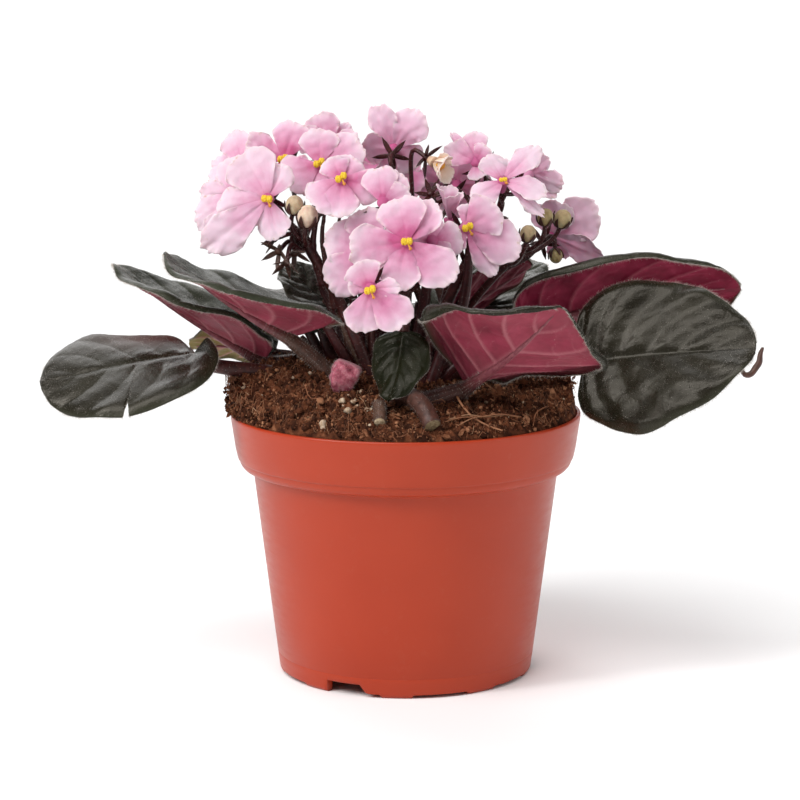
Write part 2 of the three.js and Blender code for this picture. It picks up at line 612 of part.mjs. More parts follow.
function trussSolid(truss) {
  const points = truss.points.map(vector);
  const fork = points[points.length - 1];
  const route = [...footPoints(truss.root), ...points];
  const pieces = [stem(route, PEDUNCLE_RADIUS, PEDUNCLE_RADIUS * 0.8, 6, 5)];
  const pedicel = (end, out) => {
    const before = end.clone().addScaledVector(out, -7);
    const start = fork.clone().lerp(points[points.length - 2], 0.06 * (pieces.length - 1));
    const middle = start.clone().lerp(before, 0.5).add(new THREE.Vector3(0, 0, -1.5));
    pieces.push(stem([start, middle, before, end], PEDICEL_RADIUS, PEDICEL_RADIUS, 3, 3));
  };
  for (const bloom of BLOOMS.filter((b) => b.stem === truss.name)) {
    const calyx = calyxOf(bloom);
    pedicel(calyx.at, calyx.out);
    pieces.push(calyxStar(calyx, SEPAL_LENGTH));
  }
  for (const bud of BUDS.filter((b) => b.truss === truss.name)) {
    const out = new THREE.Vector3(0.3, -0.4, Math.tan(radians(bud.rise))).normalize();
    const at = vector(bud.at);
    pedicel(at, out);
    const ball = new THREE.SphereGeometry(bud.radius, 6, 5);
    pieces.push(ball.translate(at.x, at.y, at.z));
  }
  return fuse(pieces);
}

// ---- Cut leaf stubs and the folded young leaf on the soil ----
const STUBS = [
  { name: "stub_curved", colour: STUB_BROWN, radius: 2.4,
    points: [[-1, -33, 0], [-1, -33, 101], [3, -40, 103.6], [8, -51, 96.2]] },
  { name: "stub_short", colour: STUB_BROWN, radius: 2,
    points: [[-9, -38, 0], [-9, -38, 99], [-8.5, -44, 99.4], [-8.5, -51, 95.4]] },
  { name: "young_leaf", colour: STUB_PINK, radius: 4.6,
    points: [[-21, -25, 0], [-21, -25, 99], [-20.5, -26, 103], [-18, -26, 108.5]] },
];

function stubSolid({ points, radius }) {
  const route = points.map(vector);
  route[0].z = soilHeight(route[0].x, route[0].y) - STEM_DEPTH;
  return solid(stem(route, radius, radius * 0.9, 7, 7));
}

// ---- Assembly ----
const root = new THREE.Group();

function place(name, body, colour, roughness = 0.6) {
  const material = new THREE.MeshStandardMaterial({ color: colour, roughness, metalness: 0 });
  const mesh = new THREE.Mesh(geometryOf(body).translate(...POT_AXIS), material);
  mesh.name = name;
  root.add(mesh);
}

// The plain hole that a stem stands in, a little wider than the stem.
function hole([x, y], radius) {
  const height = STEM_DEPTH + 6;
  const pin = new THREE.CylinderGeometry(radius + HOLE_CLEARANCE, radius + HOLE_CLEARANCE, height, 6);
  pin.rotateX(Math.PI / 2).translate(x, y, soilHeight(x, y) - STEM_DEPTH - 0.5 + height / 2);
  return solid(pin);
}

function soilSolid() {
  let soil = solid(soilGeometry());
  for (const leaf of LEAVES) soil = soil.subtract(hole(leaf.root, PETIOLE_RADIUS));
  for (const truss of TRUSSES) soil = soil.subtract(hole(truss.root, PEDUNCLE_RADIUS));
  for (const stub of STUBS) soil = soil.subtract(hole(stub.points[0], stub.radius));
  return mainBody(soil);
}

place("pot", potSolid(), TERRACOTTA, 0.45);
place("soil", soilSolid(), SOIL_BROWN, 0.95);
for (const leaf of LEAVES) {
  place(leaf.name, leafSolid(leaf), LEAF_GREEN, 0.5);
}
for (const bloom of BLOOMS) {
  const deep = bloom.name === "bloom_shaded";
  const pale = bloom.name === "bloom_nodding";
  place(bloom.name, bloomSolid(bloom), deep ? PETAL_DEEP : pale ? PETAL_PALE : PETAL_PINK, 0.7);
  if (WITH_ANTHERS.includes(bloom.name)) {
    place(bloom.name.replace("bloom", "anthers"), antherSolid(bloom), ANTHER_YELLOW, 0.5);
  }
}
for (const truss of TRUSSES) {
  place("flower_stem_" + truss.name, trussSolid(truss), STEM_MAROON, 0.7);
}
for (const stub of STUBS) {
  place(stub.name, stubSolid(stub), stub.colour, 0.7);
}

export default root;
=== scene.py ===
import math

import bpy
import numpy as np
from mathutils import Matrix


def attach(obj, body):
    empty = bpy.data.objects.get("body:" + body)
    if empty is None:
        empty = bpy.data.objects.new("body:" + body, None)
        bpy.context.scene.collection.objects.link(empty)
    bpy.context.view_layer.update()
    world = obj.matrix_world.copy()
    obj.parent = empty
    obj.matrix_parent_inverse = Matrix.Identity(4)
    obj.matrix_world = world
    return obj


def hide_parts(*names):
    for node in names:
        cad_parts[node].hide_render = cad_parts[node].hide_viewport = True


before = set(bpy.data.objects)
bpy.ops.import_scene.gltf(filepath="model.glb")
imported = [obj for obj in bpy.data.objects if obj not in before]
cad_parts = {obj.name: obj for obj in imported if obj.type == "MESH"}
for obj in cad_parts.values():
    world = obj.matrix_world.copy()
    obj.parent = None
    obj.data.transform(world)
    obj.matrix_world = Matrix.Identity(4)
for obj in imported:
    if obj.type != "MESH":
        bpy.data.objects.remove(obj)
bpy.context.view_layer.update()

MM = 0.001
POT_AXIS = np.array([4.0, -2.5, 0.0])

# ---- Pot ----
POT_HEIGHT = 90.0
RIM_RADIUS = 60.0
RIM_INNER_RADIUS = 56.6
COLLAR_BOTTOM = 69.0
COLLAR_RADIUS = 57.2
COLLAR_GROOVE = 75.4
SHOULDER_RADIUS = 51.8
SHOULDER_HEIGHT = 66.6
FOOT_RADIUS = 43.3
FOOT_RING = 2.6
WALL = 1.5
LIP = 1.5
FLOOR_HEIGHT = 4.6
FLOOR_THICKNESS = 1.6
FOOT_NOTCHES = 9
NOTCH_DEGREES = 26.0
NOTCH_DEPTH = 1.2
DRAIN_DEGREES = 21.0
DRAIN_DEPTH = 4.2
DRAIN_SLOT = (15.0, 6.0, 8.0)
FIRST_NOTCH = 246.0
FROM_DRAIN = 3.0
POT_SEGMENTS = 240
AXIS_HOLE = 0.01
WALL_HEIGHTS = (1.2, 1.6, 3.0, 4.8, 6.3, 6.55, 6.7, 6.85, 7.1, 20, 34, 48, 60, 66, 70.1)
FOOT_LINE = {6.55: 0.09, 6.7: 0.13, 6.85: 0.09}
# The collar's outside from its underside up: points [radius, height].
COLLAR = [
    (52.4, 70.7), (52.75, 70.85), (53.5, 70.85), (54.2, 70.9), (55.0, 71.15), (55.8, 71.6), (56.4, 72.3),
    (56.8, 73.1), (57.0, 73.9), (57.02, 74.25), (57.12, 74.4), (57.5, 74.58), (57.65, 75.0), (58.0, 76.6),
    (58.35, 78.4), (58.75, 81.0), (59.2, 84.1), (59.7, 87.4),
]

# ---- Soil ----
SOIL_LEVEL = 91.4
SOIL_CROWN = 11.0
SOIL_BANK = 10.0
SOIL_SPILL = 2.8
RIGHT_BANK = 12.5
LEFT_MOUND = 7.5
STEM_DEPTH = 10.0
HEAP_COLUMNS = 480
HEAP_EDGE_RINGS = 16
HEAP_RINGS = 112
# Crumbs: how many, the smallest and the largest, and how flat and how long they get.
CRUMBS = [(420, 0.8, 1.7, (0.2, 1.3)), (5600, 0.3, 0.75, (0.25, 1.5)), (13000, 0.14, 0.34, (0.35, 1.5))]
SPILLED_CRUMBS = 700
STREWN_PERLITE = 60
PATCH_TRIES = 700
PATCH_MIDDLE = (-16, -35)
PATCH_RADIUS = 7
# The larger bits of perlite: where they lie.
PERLITE = [(-17.5, -36), (-16, -37.5), (-13, -39), (-11.8, -38.2), (-21, -35), (-15.5, -27), (-27, -49),
           (-19, -42)]
# Fibres: how many, the shortest and longest, the thinnest and thickest, and how far they stand clear of
# the soil.
FIBRES = [(3600, 1.0, 3.5, 0.05, 0.13, (-0.1, 0.5)), (420, 4, 11, 0.05, 0.14, (0, 1.4)),
          (90, 6, 14, 0.1, 0.2, (0.2, 1.8))]
RIM_FIBRES = 130
FIBRE_STEPS = 8
FIBRE_SIDES = 4
# Threads that lie on the soil: points [x, y, height over the soil], radius and tone.
THREADS = [
    ([(17, -33, 3.2), (18.5, -38, 2.0), (22, -43, 1.2), (27, -48, 1.0), (31, -52, 0.6)], 0.42, 0.5),
    ([(38, -36, 1.4), (31, -41, 1.6), (24, -44, 1.3), (18, -46, 0.8), (12, -49, 0.4)], 0.28, 0.5),
    ([(14, -45, 0.5), (20, -43.5, 1.1), (26, -43, 1.4), (33, -39.5, 1.2), (38, -35, 0.6)], 0.22, 0.62),
    ([(24, -43, 1.2), (21, -47, 1.0), (16, -50, 0.5)], 0.24, 0.55),
    ([(-55, -10, 1.2), (-52, -14, 1.4), (-49, -19, 1.0), (-46, -24, 0.5)], 0.3, 0.85),
    ([(-52, -11, 0.6), (-48, -15, 1.6), (-44, -18, 1.0), (-38, -25, 0.4)], 0.2, 0.9),
    ([(-57, -8, 1.0), (-53, -17, 2.0), (-47, -27, 0.8)], 0.16, 0.85),
    ([(-24, -43, 0.6), (-19, -46, 1.2), (-14, -49, 0.4)], 0.2, 0.6),
    ([(48, -20, 0.6), (46, -26, 1.8), (43, -33, 1.2), (42, -38, 0.4)], 0.3, 0.45),
    ([(50, -24, 0.8), (47, -29, 1.4), (45, -33, 0.5)], 0.2, 0.6),
    ([(52, -6, 1.2), (48, -11, 2.0), (50, -17, 0.6)], 0.16, 0.5),
]
THREAD_STEPS = 30

# ---- Leaves ----
LEAF_ROWS = 120
LEAF_COLUMNS = 96
LEAF_THICKNESS = 0.8
PETIOLE_RADIUS = 2.5
PETIOLE_LIFT = 2.4
MARGIN_WAVE = 0.8
VEIN_PAIRS = 6
QUILT = 0.8
SLOPE_STEPS = 24
PETIOLE_FULL = 1.18
PETIOLE_STEPS = 40
PETIOLE_SIDES = 16
RIB_STEPS = 34
SLIVER_STEPS = 24
FULL_LEAF = 50
SMALL_LEAF = 0.6
MARGIN_HAIRS = 850
TOP_HAIRS = 1800
FEW_TOP_HAIRS = 500
UNDER_HAIRS = 5200
HAIRY_RINGS = 52
HAIR_SUNK = 0.12

# One row for each leaf. root is where its stalk leaves the soil, unless enter gives a place for that, and
# base is where its blade begins. heading, pitch and roll turn the blade, and bend and twist curve it along
# its length. fold, cup, curl and roll_margin shape its left and right half across, and lobe is how far it
# reaches back past its base. Angles are in degrees. A bump, tear, flat stretch or stain is given as [side,
# where from base 0 to tip 1, spread].
# A leaf's hairiness value sets how many hairs it has, and how much pale sheen is painted onto its underside.
PLAIN_BLADE = dict(twist=0, fold=(8, 8), tip_fold=1, cup=(0, 0), curl=(0, 0))
LEAVES = [
    dict(name="leaf_far_left", root=(-26, 0), base=(-73, -5, 110), heading=198, pitch=-2, roll=-18, length=52,
         width=27, bend=23, twist=-28, fold=(19, -16), tip_fold=0.4, cup=(-8, -12), curl=(-10, -10), lobe=9,
         tear=(1, 0.5, 0.014, 0.2), ear=(5.2, 0), enter=(-38, -3), way=[(-50, -4, 104), (-62, -4.5, 105.6)],
         quilt=0.45, veins=0.3, stain=(-1, 0.2, 0.25), crease=1.2, fuzz=0.3,
         bumps=[(1, 0, 0.06, -0.62), (1, 0.13, 0.07, -0.1), (1, 0.92, 0.06, 0.12), (-1, 0.66, 0.16, 0.15),
                (-1, 0.13, 0.14, 0.34)]),
    dict(name="leaf_left", root=(-24, 10), base=(-48, 6, 107), heading=171, pitch=25, roll=6, length=62,
         width=24, bend=-11, twist=-9, fold=(45, 34), tip_fold=0, cup=(0, -2), curl=(-10, 0), lobe=4,
         narrow=0.3, roll_margin=(60, 70), enter=(-36, 5), stalk=0.1, fuzz=1, skin="leaf_top_hairy_sheen", quilt=0.6),
    dict(name="leaf_left_upper", root=(-22, -9), base=(-37, -13, 118), heading=181, pitch=23, roll=7,
         length=52, width=25, bend=-20, twist=-12, fold=(51, 42), tip_fold=-0.3, cup=(3, -2), curl=(-12, 0),
         lobe=19, roll_margin=(60, 70), enter=(-24, -14), way=[(-27, -14, 106), (-31.5, -13.5, 110.5)],
         stalk=0.5, thick_stalk=1.1, fuzz=1, skin="leaf_top_hairy_sheen", quilt=0.6),
    dict(PLAIN_BLADE, name="leaf_left_low", root=(-18, 17), base=(-46, 24, 107.5), heading=170, pitch=7,
         roll=30, length=30, width=17, bend=14, cup=(-10, -10), lobe=5, green=0.85),
    dict(name="leaf_small_front", root=(-5, -20), base=(-1, -33, 122), heading=256, pitch=-67, roll=6,
         length=24, width=10, bend=-15, twist=22, fold=(2, 7), tip_fold=0.9, cup=(-19, -17), curl=(0, 0),
         lobe=1, quilt=0.25, veins=0.35, fuzz=0, skin="shaded_young_leaf_top"),
    dict(name="leaf_far_right", root=(14, -6), base=(61, -12, 109), heading=-23, pitch=9, roll=67, length=59,
         width=26, bend=4, twist=-37, fold=(14, 6), tip_fold=1.5, cup=(-12, -19), curl=(-8, -8), lobe=7.5,
         quilt=0.85, veins=0.2, fuzz=0.2, crease=2.0,
         sliver=[(109.5, -40, 111), (111, -40.5, 109), (113.6, -40, 109.6), (115.6, -39, 112.6),
                 (117, -37.5, 117.6)],
         bumps=[(1, 0.86, 0.08, 0.09), (-1, 0.42, 0.06, 0.05), (-1, 0.22, 0.1, -0.08), (-1, 0.9, 0.06, 0.1)]),
    dict(name="leaf_right_front", root=(3, -17), base=(20, -28, 104), heading=-60, pitch=23, roll=-37,
         length=60, width=30, bend=-20, twist=14, fold=(45, 36), tip_fold=-0.5, cup=(5, 2), curl=(0, -40),
         lobe=4, roll_margin=(150, 150), roll_from=0.83, roll_tip=0.1, flat=(-1, 0.22, 0.16), enter=(0, -31),
         way=[(6, -31.5, 98.6)], stalk=0.26, thick_stalk=1.25, fuzz=0.9,
         bumps=[(1, 0.28, 0.2, -0.5), (1, 0.7, 0.14, 0.3)]),
    dict(name="leaf_right_upper", root=(8, 2), base=(43, 9, 119), heading=2, pitch=15, roll=-55, length=73,
         width=23, bend=16, twist=-1, fold=(10, 1), tip_fold=1, cup=(0, -2), curl=(0, -20), lobe=10,
         roll_margin=(120, 90), fuzz=0, veins=0.2),
    dict(PLAIN_BLADE, name="leaf_right_inner", root=(3, 6), base=(15, 12, 121), heading=30, pitch=26,
         roll=-46, length=36, width=16, bend=4, lobe=6),
    dict(PLAIN_BLADE, name="leaf_back_right", root=(0, 18), base=(19, 38, 119), heading=48, pitch=29, roll=6,
         length=44, width=20, bend=22, cup=(-8, -8), lobe=6, skin="leaf_top_hairy_sheen"),
    dict(PLAIN_BLADE, name="leaf_back", root=(-8, 20), base=(-5, 38, 112), heading=85, pitch=20, roll=0,
         length=40, width=19, bend=34, cup=(-10, -10), lobe=6),
    dict(PLAIN_BLADE, name="leaf_back_left", root=(-14, 11), base=(-24, 34, 114), heading=126, pitch=26,
         roll=0, length=42, width=20, bend=30, cup=(-10, -10), lobe=6),
    dict(PLAIN_BLADE, name="leaf_inner_left", root=(-13, 3), base=(-25, 19, 122), heading=156, pitch=40,
         roll=-24, length=24, width=12, bend=14, fold=(14, 14), lobe=3),
]

# ---- Blooms ----
PETAL_ROWS = 36
PETAL_COLUMNS = 35
PETAL_THICKNESS = 0.35
PETAL_WIDTH = 0.5
PETAL_FULL = 15.0
PETAL_FULLEST = 0.56
PETAL_SWEEP = 1.35
PETAL_LEANING = 0.7
PETAL_BROADER = 1.11
PETAL_LAYERS = (-0.9, -1.9, 0.1, 1.1, 0.1, -0.4)
TUBE_RADIUS = 2.1
TUBE_LENGTH = 5.0
ANTHER_RISE = 2.1
ANTHER_LOBE = np.array((1.1, 1.4, 1.15))
STIGMA_LOBE = (0.55, 0.55, 0.5)
SUNK_SIZE = 0.75
PEDUNCLE_RADIUS = 2.2
PEDUNCLE_STEPS = 40
PEDICEL_RADIUS = 0.85
PEDICEL_STEPS = 26
SEPAL_LENGTH = 7.0
SEPAL_WIDTH = 0.85
SEPAL_ROWS = 12
SEPAL_COLUMNS = 7
SEPAL_HAIRS = 46
SEPAL_THICKNESS = 0.32
GAP = 0.3
PIXEL_ROUNDS = 4

# middle_px and tips_px are read off the picture, 800 pixels wide: a bloom's middle, and for each petal its
# tip, its width and its lean towards the viewer in degrees. depth is where the bloom stands along y. A bloom
# that the picture hides has its place and its petals [direction, reach, lean, width] in full.
BLOOMS = [
    dict(name="front", middle_px=(407, 242), depth=-38, face=(268, 12), truss="centre",
         tips_px=[(398, 196, 46, 8), (437, 202, 30, 4), (453, 282, 42, 4), (396, 291, 38, 0),
                  (347, 250, 42, 6)]),
    dict(name="front_right", middle_px=(432, 241), depth=-31, face=(282, 16), truss="centre",
         tips_px=[(430, 214, 26, 10), (465, 235, 32, 2), (448, 256, 20, 0), (425, 258, 20, 0),
                  (412, 240, 20, 0)]),
    dict(name="front_left", middle_px=(372, 250), depth=-25, face=(255, 8), truss="centre",
         tips_px=[(362, 208, 40, 8), (323, 238, 44, 6), (325, 288, 42, 0), (372, 292, 38, 0),
                  (408, 238, 36, 4)]),
    dict(name="front_low", middle_px=(370.7, 288.5), depth=-46, face=(264, -4), truss="centre",
         tips_px=[(357, 263, 36, 12), (348, 283, 22, 10), (360, 333, 36, 4), (407, 326, 37, 4),
                  (400, 287, 18, 8)]),
    dict(name="upper", middle_px=(341.5, 179), depth=-20, face=(266, 22), truss="left",
         tips_px=[(330, 156, 30, 12), (355, 155, 30, 12), (312, 207, 38, 2), (338, 217, 38, 2),
                  (383, 190, 34, 4)]),
    dict(name="middle", middle_px=(383, 203), depth=-27, face=(266, 20), truss="centre",
         tips_px=[(377, 165, 34, 8), (400, 170, 30, 8), (410, 192, 26, 4)]),
    dict(name="upper_left", middle_px=(320, 165), depth=-3, face=(262, 28), truss="left",
         tips_px=[(318, 127, 38, 14), (361, 138, 40, 12), (352, 176, 32, 0), (283, 181, 42, 0),
                  (307, 196, 40, 2)]),
    dict(name="back_left", middle_px=(284, 160), depth=6, face=(262, 20), pale=-0.1, truss="left",
         tips_px=[(295, 119, 38, 14), (246, 136, 26, 10), (243, 152, 20, 6), (280, 186, 30, 0),
                  (306, 172, 26, 4)]),
    dict(name="left", middle_px=(268, 199), depth=-16, face=(262, 8), pale=0.3, truss="left",
         tips_px=[(241, 151, 50, 10), (281, 163, 32, 12), (218, 215, 42, 4), (205, 251, 38, 2),
                  (277, 240, 32, 2)]),
    dict(name="far_left", middle_px=(238, 196), depth=-4, face=(244, 10), pale=0.25, truss="left",
         tips_px=[(228, 156, 42, 10), (196, 194, 28, 6), (194, 224, 38, 2), (212, 248, 36, 0),
                  (248, 234, 30, 0)]),
    dict(name="rear_left", middle_px=(243, 168), depth=14, face=(236, 28), pale=0.15, truss="left",
         tips_px=[(232, 130, 32, 14), (209, 158, 26, 10), (207, 178, 32, 4), (236, 204, 30, 0),
                  (262, 144, 26, 4)]),
    dict(name="rear_top", at=(-26.9, 17, 177.5), face=(266, 18), truss="left",
         petals=[(104, 13.5, 10, 0.95), (52, 12.5, 10, 0.5), (20, 12, 4, 0.8), (152, 11, 4, 0.85),
                 (-80, 11, 0, 0.9)]),
    dict(name="top", middle_px=(394, 148), depth=5, face=(84, 16), pale=0.15, truss="back",
         tips_px=[(377, 103, 28, 6), (421, 111, 36, 6), (420, 165, 34, 0), (392, 186, 34, 0),
                  (363, 148, 34, 0)]),
    dict(name="shaded", at=(-5, 20, 170), face=(280, 24), truss="back",
         petals=[(40, 12, 10, 1), (130, 13, 10, 1), (200, 12, 2, 1), (-90, 12, 0, 1), (-30, 13, 2, 1)]),
    dict(name="nodding", at=(9, -6, 175.8), tube=1.5, face=(322, -22), truss="back",
         petals=[(90, 6.6, 58, 0.72), (18, 6.6, 56, 0.72), (-54, 6.6, 58, 0.72), (-126, 6.6, 56, 0.72),
                 (162, 6.6, 58, 0.72)]),
    dict(name="right_top", middle_px=(476, 162), depth=5, face=(250, 30), truss="right",
         tips_px=[(470, 130, 30, 16), (448, 127, 9, 14), (445, 147, 28, 18), (488, 147, 22, 10),
                  (480, 180, 22, 8)]),
    dict(name="right_upper", middle_px=(503, 181), depth=-12, face=(276, 46), pale=0.25, truss="right",
         tips_px=[(489, 152, 32, 26), (511, 156, 26, 26), (474, 198, 28, 6), (547, 194, 32, 2),
                  (539, 146, 26, 16), (546, 211, 14, -6)]),
    dict(name="right_side", middle_px=(530, 173), depth=9, face=(50, 20), pale=0.2, truss="right",
         tips_px=[(549, 153, 20, 8), (537, 150, 14, 14), (563, 187, 24, 8), (557, 196, 20, 2),
                  (520, 155, 18, 4)]),
    dict(name="right_front", middle_px=(466, 227.5), depth=-23, face=(284, 10), truss="right",
         tips_px=[(499, 207, 44, 14), (475, 205, 26, 14), (521, 250, 44, 6), (494, 276, 23, 0),
                  (450, 246, 24, 4)]),
    dict(name="far_right", middle_px=(552, 236), depth=16, face=(56, 14), pale=0.3, truss="right_low",
         tips_px=[(598, 208, 46, 6), (566, 199, 34, 6), (535, 206, 26, 0), (560, 262, 28, 0),
                  (604, 257, 32, 0)]),
    dict(name="half_open", at=(14.6, -14, 156.6), tube=3.0, face=(276, 74), truss="centre",
         petals=[(90, 8, 64, 0.55), (10, 7.5, 66, 0.5), (-80, 7.5, 65, 0.55), (-170, 8, 64, 0.5)]),
    dict(name="rear", at=(18, 28, 165), face=(76, 30), truss="back",
         petals=[(100, 14, 8, 1), (30, 14, 8, 1), (-35, 15, 0, 1), (-92, 15, 0, 1), (180, 14, 2, 1)]),
]
SCENE_ONLY = ("middle",)
WITH_ANTHERS = ("front", "front_low", "upper", "upper_left", "back_left", "left", "far_left", "right_upper",
                "right_front", "right_top", "rear", "nodding")
SUNK_ANTHERS = {"right_top": -0.9, "right_upper": 0.6, "nodding": 3.5}

TRUSSES = [
    dict(name="left", root=(-12, -9), points=[(-22, -9, 128), (-33, -9, 148), (-35.5, -10, 154)]),
    dict(name="centre", root=(-3, -10), points=[(-1, -12, 124), (1, -12, 142)]),
    dict(name="right", root=(3, -3), points=[(14, -6, 128), (24, -4, 148)]),
    dict(name="right_low", root=(9, 12), points=[(24, 4, 128), (41, 0, 147)], radius=1.5),
    dict(name="back", root=(-5, 5), points=[(-2, 4, 128), (3, 5, 154)]),
]
BUDS = [
    dict(truss="left", at=(-37, -15, 162), radius=3.0, rise=60, ripe=0.6),
    dict(truss="left", at=(-32.5, -17, 158.5), radius=3.5, rise=60, ripe=0.12),
    dict(truss="right_low", at=(47, -6, 157), radius=2.7, rise=70, ripe=1.0),
    dict(truss="right_low", at=(53, -2, 156), radius=3.0, rise=40, ripe=0.9),
    dict(truss="right_low", at=(41, -11, 152), radius=2.7, rise=50, ripe=0.8),
    dict(truss="right_low", at=(51, 1, 143), radius=2.3, rise=-60, ripe=1.0),
]
# Calyces that have dropped their petals: they stand as dark spiky stars under the blooms.
SPENT = [
    dict(truss="left", at=(-43, -14, 146), face=(240, -20), length=6.5, tone=0.4, open=0.75),
    dict(truss="left", at=(-40, -17, 142), face=(250, -50), length=6.0, tone=0.3, open=0.7),
    dict(truss="left", at=(-37, -14, 145), face=(280, -40), length=6.0, tone=0.35, open=0.7),
    dict(truss="left", at=(-45, -10, 150), face=(200, -10), length=5.5, tone=0.1, open=0.6),
    dict(truss="right", at=(30, -12, 158), face=(250, 30), length=6.0, tone=0.0, open=0.8),
    dict(truss="centre", at=(8, -12, 166), face=(250, 40), length=5.5, tone=0.0, open=0.8),
]

# ---- Crown and stubs ----
# Petioles and young stems that show dark between the leaves: points [x, y, z], radius and tone.
CROWN = [
    ([(-14, -6, 98), (-19, -7, 107), (-27, -9, 121), (-30, -9, 127)], 2.3, 0.0),
    ([(-12, -5, 98), (-16, -6, 108), (-21, -7, 120), (-23, -8, 126)], 1.6, 0.55),
    ([(-9, -4, 98), (-13, -5, 107), (-16, -6, 117), (-17, -6, 125)], 2.1, 0.1),
    ([(-6, -3, 99), (-9, -3, 108), (-11, -3, 118), (-12, -3, 126)], 2.0, 0.0),
    ([(-3, -2, 99), (-4, -2, 109), (-5, -2, 120)], 2.4, 0.05),
    ([(3, -6, 98), (9, -7, 108), (14, -8, 119), (16, -8, 126)], 2.2, 0.0),
    ([(5, -8, 98), (13, -9, 107), (20, -10, 117), (24, -10, 124)], 2.0, 0.08),
    ([(7, -9, 98), (16, -10, 106), (24, -11, 113), (30, -12, 119)], 1.8, 0.0),
    ([(1, -1, 99), (3, 0, 109), (6, 1, 120), (7, 1, 127)], 2.3, 0.0),
    ([(-22, 3, 98), (-28, 5, 106), (-36, 8, 114)], 2.0, 0.15),
    ([(9, 3, 98), (17, 4, 106), (27, 5, 115)], 2.2, 0.1),
    ([(-17, -5, 97), (-20, -6, 117), (-23, -6, 129)], 1.9, 0.3),
    ([(-14.5, -3, 97), (-15.5, -4, 117), (-17, -4, 129)], 2.4, 0.0),
    ([(-11, -5, 97), (-11.4, -6, 115), (-11, -6, 126)], 1.9, 0.1),
    ([(-7.4, 1, 97), (-6.7, 0, 111), (-6, 0, 123)], 2.6, 0.0),
    ([(-20, 3, 97), (-26, 3, 110), (-30, 3, 121)], 2.8, 0.05),
    ([(-24, 5, 97), (-31, 5, 112), (-36, 5, 122)], 2.4, 0.1),
    ([(-24, -9, 126), (-26, -10, 138), (-28, -12, 150), (-27, -15, 160)], 1.1, 0.1),
    ([(-22, -8, 124), (-22.5, -10, 138), (-23, -13, 150), (-22, -16, 158)], 1.0, 0.3),
    ([(-28, -9, 134), (-31, -9, 146), (-30, -11, 156), (-27, -14, 164)], 1.3, 0.0),
    ([(2, -4, 150), (8, -6, 160), (15, -8, 163), (19, -9, 158)], 1.0, 0.0),
    ([(4, -3, 152), (11, -4, 165), (18, -5, 166), (22, -6, 161)], 0.9, 0.1),
    ([(12, -8, 99), (17, -8, 118), (20.5, -8, 134), (21.5, -8, 150)], 2.4, 0.0),
    ([(2, -4, 100), (6, -4, 125), (9, -3, 148)], 2.5, 0.0),
    ([(6, -2, 100), (13, -2, 125), (17, -2, 146)], 2.4, 0.05),
    ([(-2, 2, 100), (0, 2, 125), (2, 3, 150)], 2.4, 0.0),
    ([(8, -11, 99), (13, -11, 114), (17, -12, 126)], 2.2, 0.0),
    ([(5, -10, 99), (8, -9, 114), (11, -9, 125)], 2.2, 0.05),
]
CROWN_STEPS = 30
CROWN_HAIRS = 260
INNER_STEMS = 15
INNER_REACH = 21
# The least and the most of an inner stem: lean, distance to the back, height, radius and tone.
INNER_RANGE = ((-7, 1, 122, 1.4, 0), (7, 10, 143, 2.4, 0.3))
STUB_STEPS = 44
STUB_SIDES = 22
STUB_TIP = 0.92
# The cut end's edge: its radii from the stub outwards, as shares of the stub's own.
CUT_EDGE = np.array([0.9, 0.92, 0.93, 0.93, 0.91, 0.86, 0.76, 0.6])
STUBS = [
    dict(name="stub_curved", radius=3.3, tone=0.32, cut_tone=0.0, hairs=260,
         points=[(-3, -33, 0), (-2, -33.5, 98), (0.5, -38, 101.4), (5.5, -47, 99.6), (8.6, -53.5, 94.4)]),
    dict(name="stub_short", radius=2.2, tone=0.62, cut_tone=1.0, hairs=420,
         points=[(-9, -38, 0), (-9, -38, 97), (-8.6, -43, 99), (-8.5, -50.5, 95)]),
]
YOUNG_LEAF = dict(name="young_leaf", radius=5.0, hairs=1300,
                  points=[(-21, -25, 0), (-21.5, -25, 99), (-21, -26, 104), (-18.5, -26, 110.3)])
# The young leaf's radius along its stalk and fist, as [where, share of its radius].
YOUNG_GIRTH = ([0, 0.58, 0.7, 0.84, 0.97, 1], [0.4, 0.56, 0.86, 0.96, 0.9, 0.78])
YOUNG_SIDES = 40
YOUNG_CORNER = 3.4
# A smaller bud beside it: its route, and its radius as [where, radius].
YOUNG_BUD = [(-29, -8, 96), (-29.5, -8, 102.5), (-30.5, -8, 107)]
BUD_GIRTH = ([0, 0.6, 0.85, 1], [1.2, 1.9, 1.7, 0.9])
BUD_STEPS = 20

# ---- Camera and light ----
EYE = np.array([-1.9, -950, 262])
CAMERA_PITCH = 10.06
LENS = 126.8
SENSOR = 36.0
PICTURE = 800
FOCAL = LENS / SENSOR * PICTURE
PIXELS_PER_MM = 2.95
WORLD_LIGHT = 0.27
LIGHT_DISTANCE = 1.1
LIGHT_TARGET = 0.12
FLOOR_REACH = 30000


# ---- Small numbers ----
def unit(v):
    return v / np.maximum(np.linalg.norm(v, axis=-1, keepdims=True), 1e-9)


def smoothstep(x, low, high):
    share = np.clip((x - low) / (high - low), 0, 1)
    return share * share * (3 - 2 * share)


def bell(distance, width):
    """1 at no distance, and fading to 0 over about the width."""
    return np.exp(-((distance / width) ** 2))


def draws(name):
    """A seeded source of random numbers for one piece."""
    return np.random.default_rng(sum((i + 1) * ord(c) for i, c in enumerate(name)))


def ripple(points, size, seed, waves=9):
    """Smooth noise from -1 to 1 with features of about one size, in the points' own unit."""
    source = np.random.default_rng(seed)
    ways = unit(source.normal(size=(waves, 3)))
    phases = source.uniform(0, 2 * math.pi, waves)
    pace = source.uniform(0.7, 1.5, waves) * 2 * math.pi / size
    total = sum(np.sin(points @ w * p + f) for w, p, f in zip(ways, pace, phases))
    return total / math.sqrt(waves * 2)


# ---- From the picture to the plant ----
def camera_ways():
    """The camera's right, up and forward."""
    pitch = math.radians(CAMERA_PITCH)
    sine, cosine = math.sin(pitch), math.cos(pitch)
    return np.array([[1, 0, 0], [0, sine, cosine], [0, cosine, -sine]])


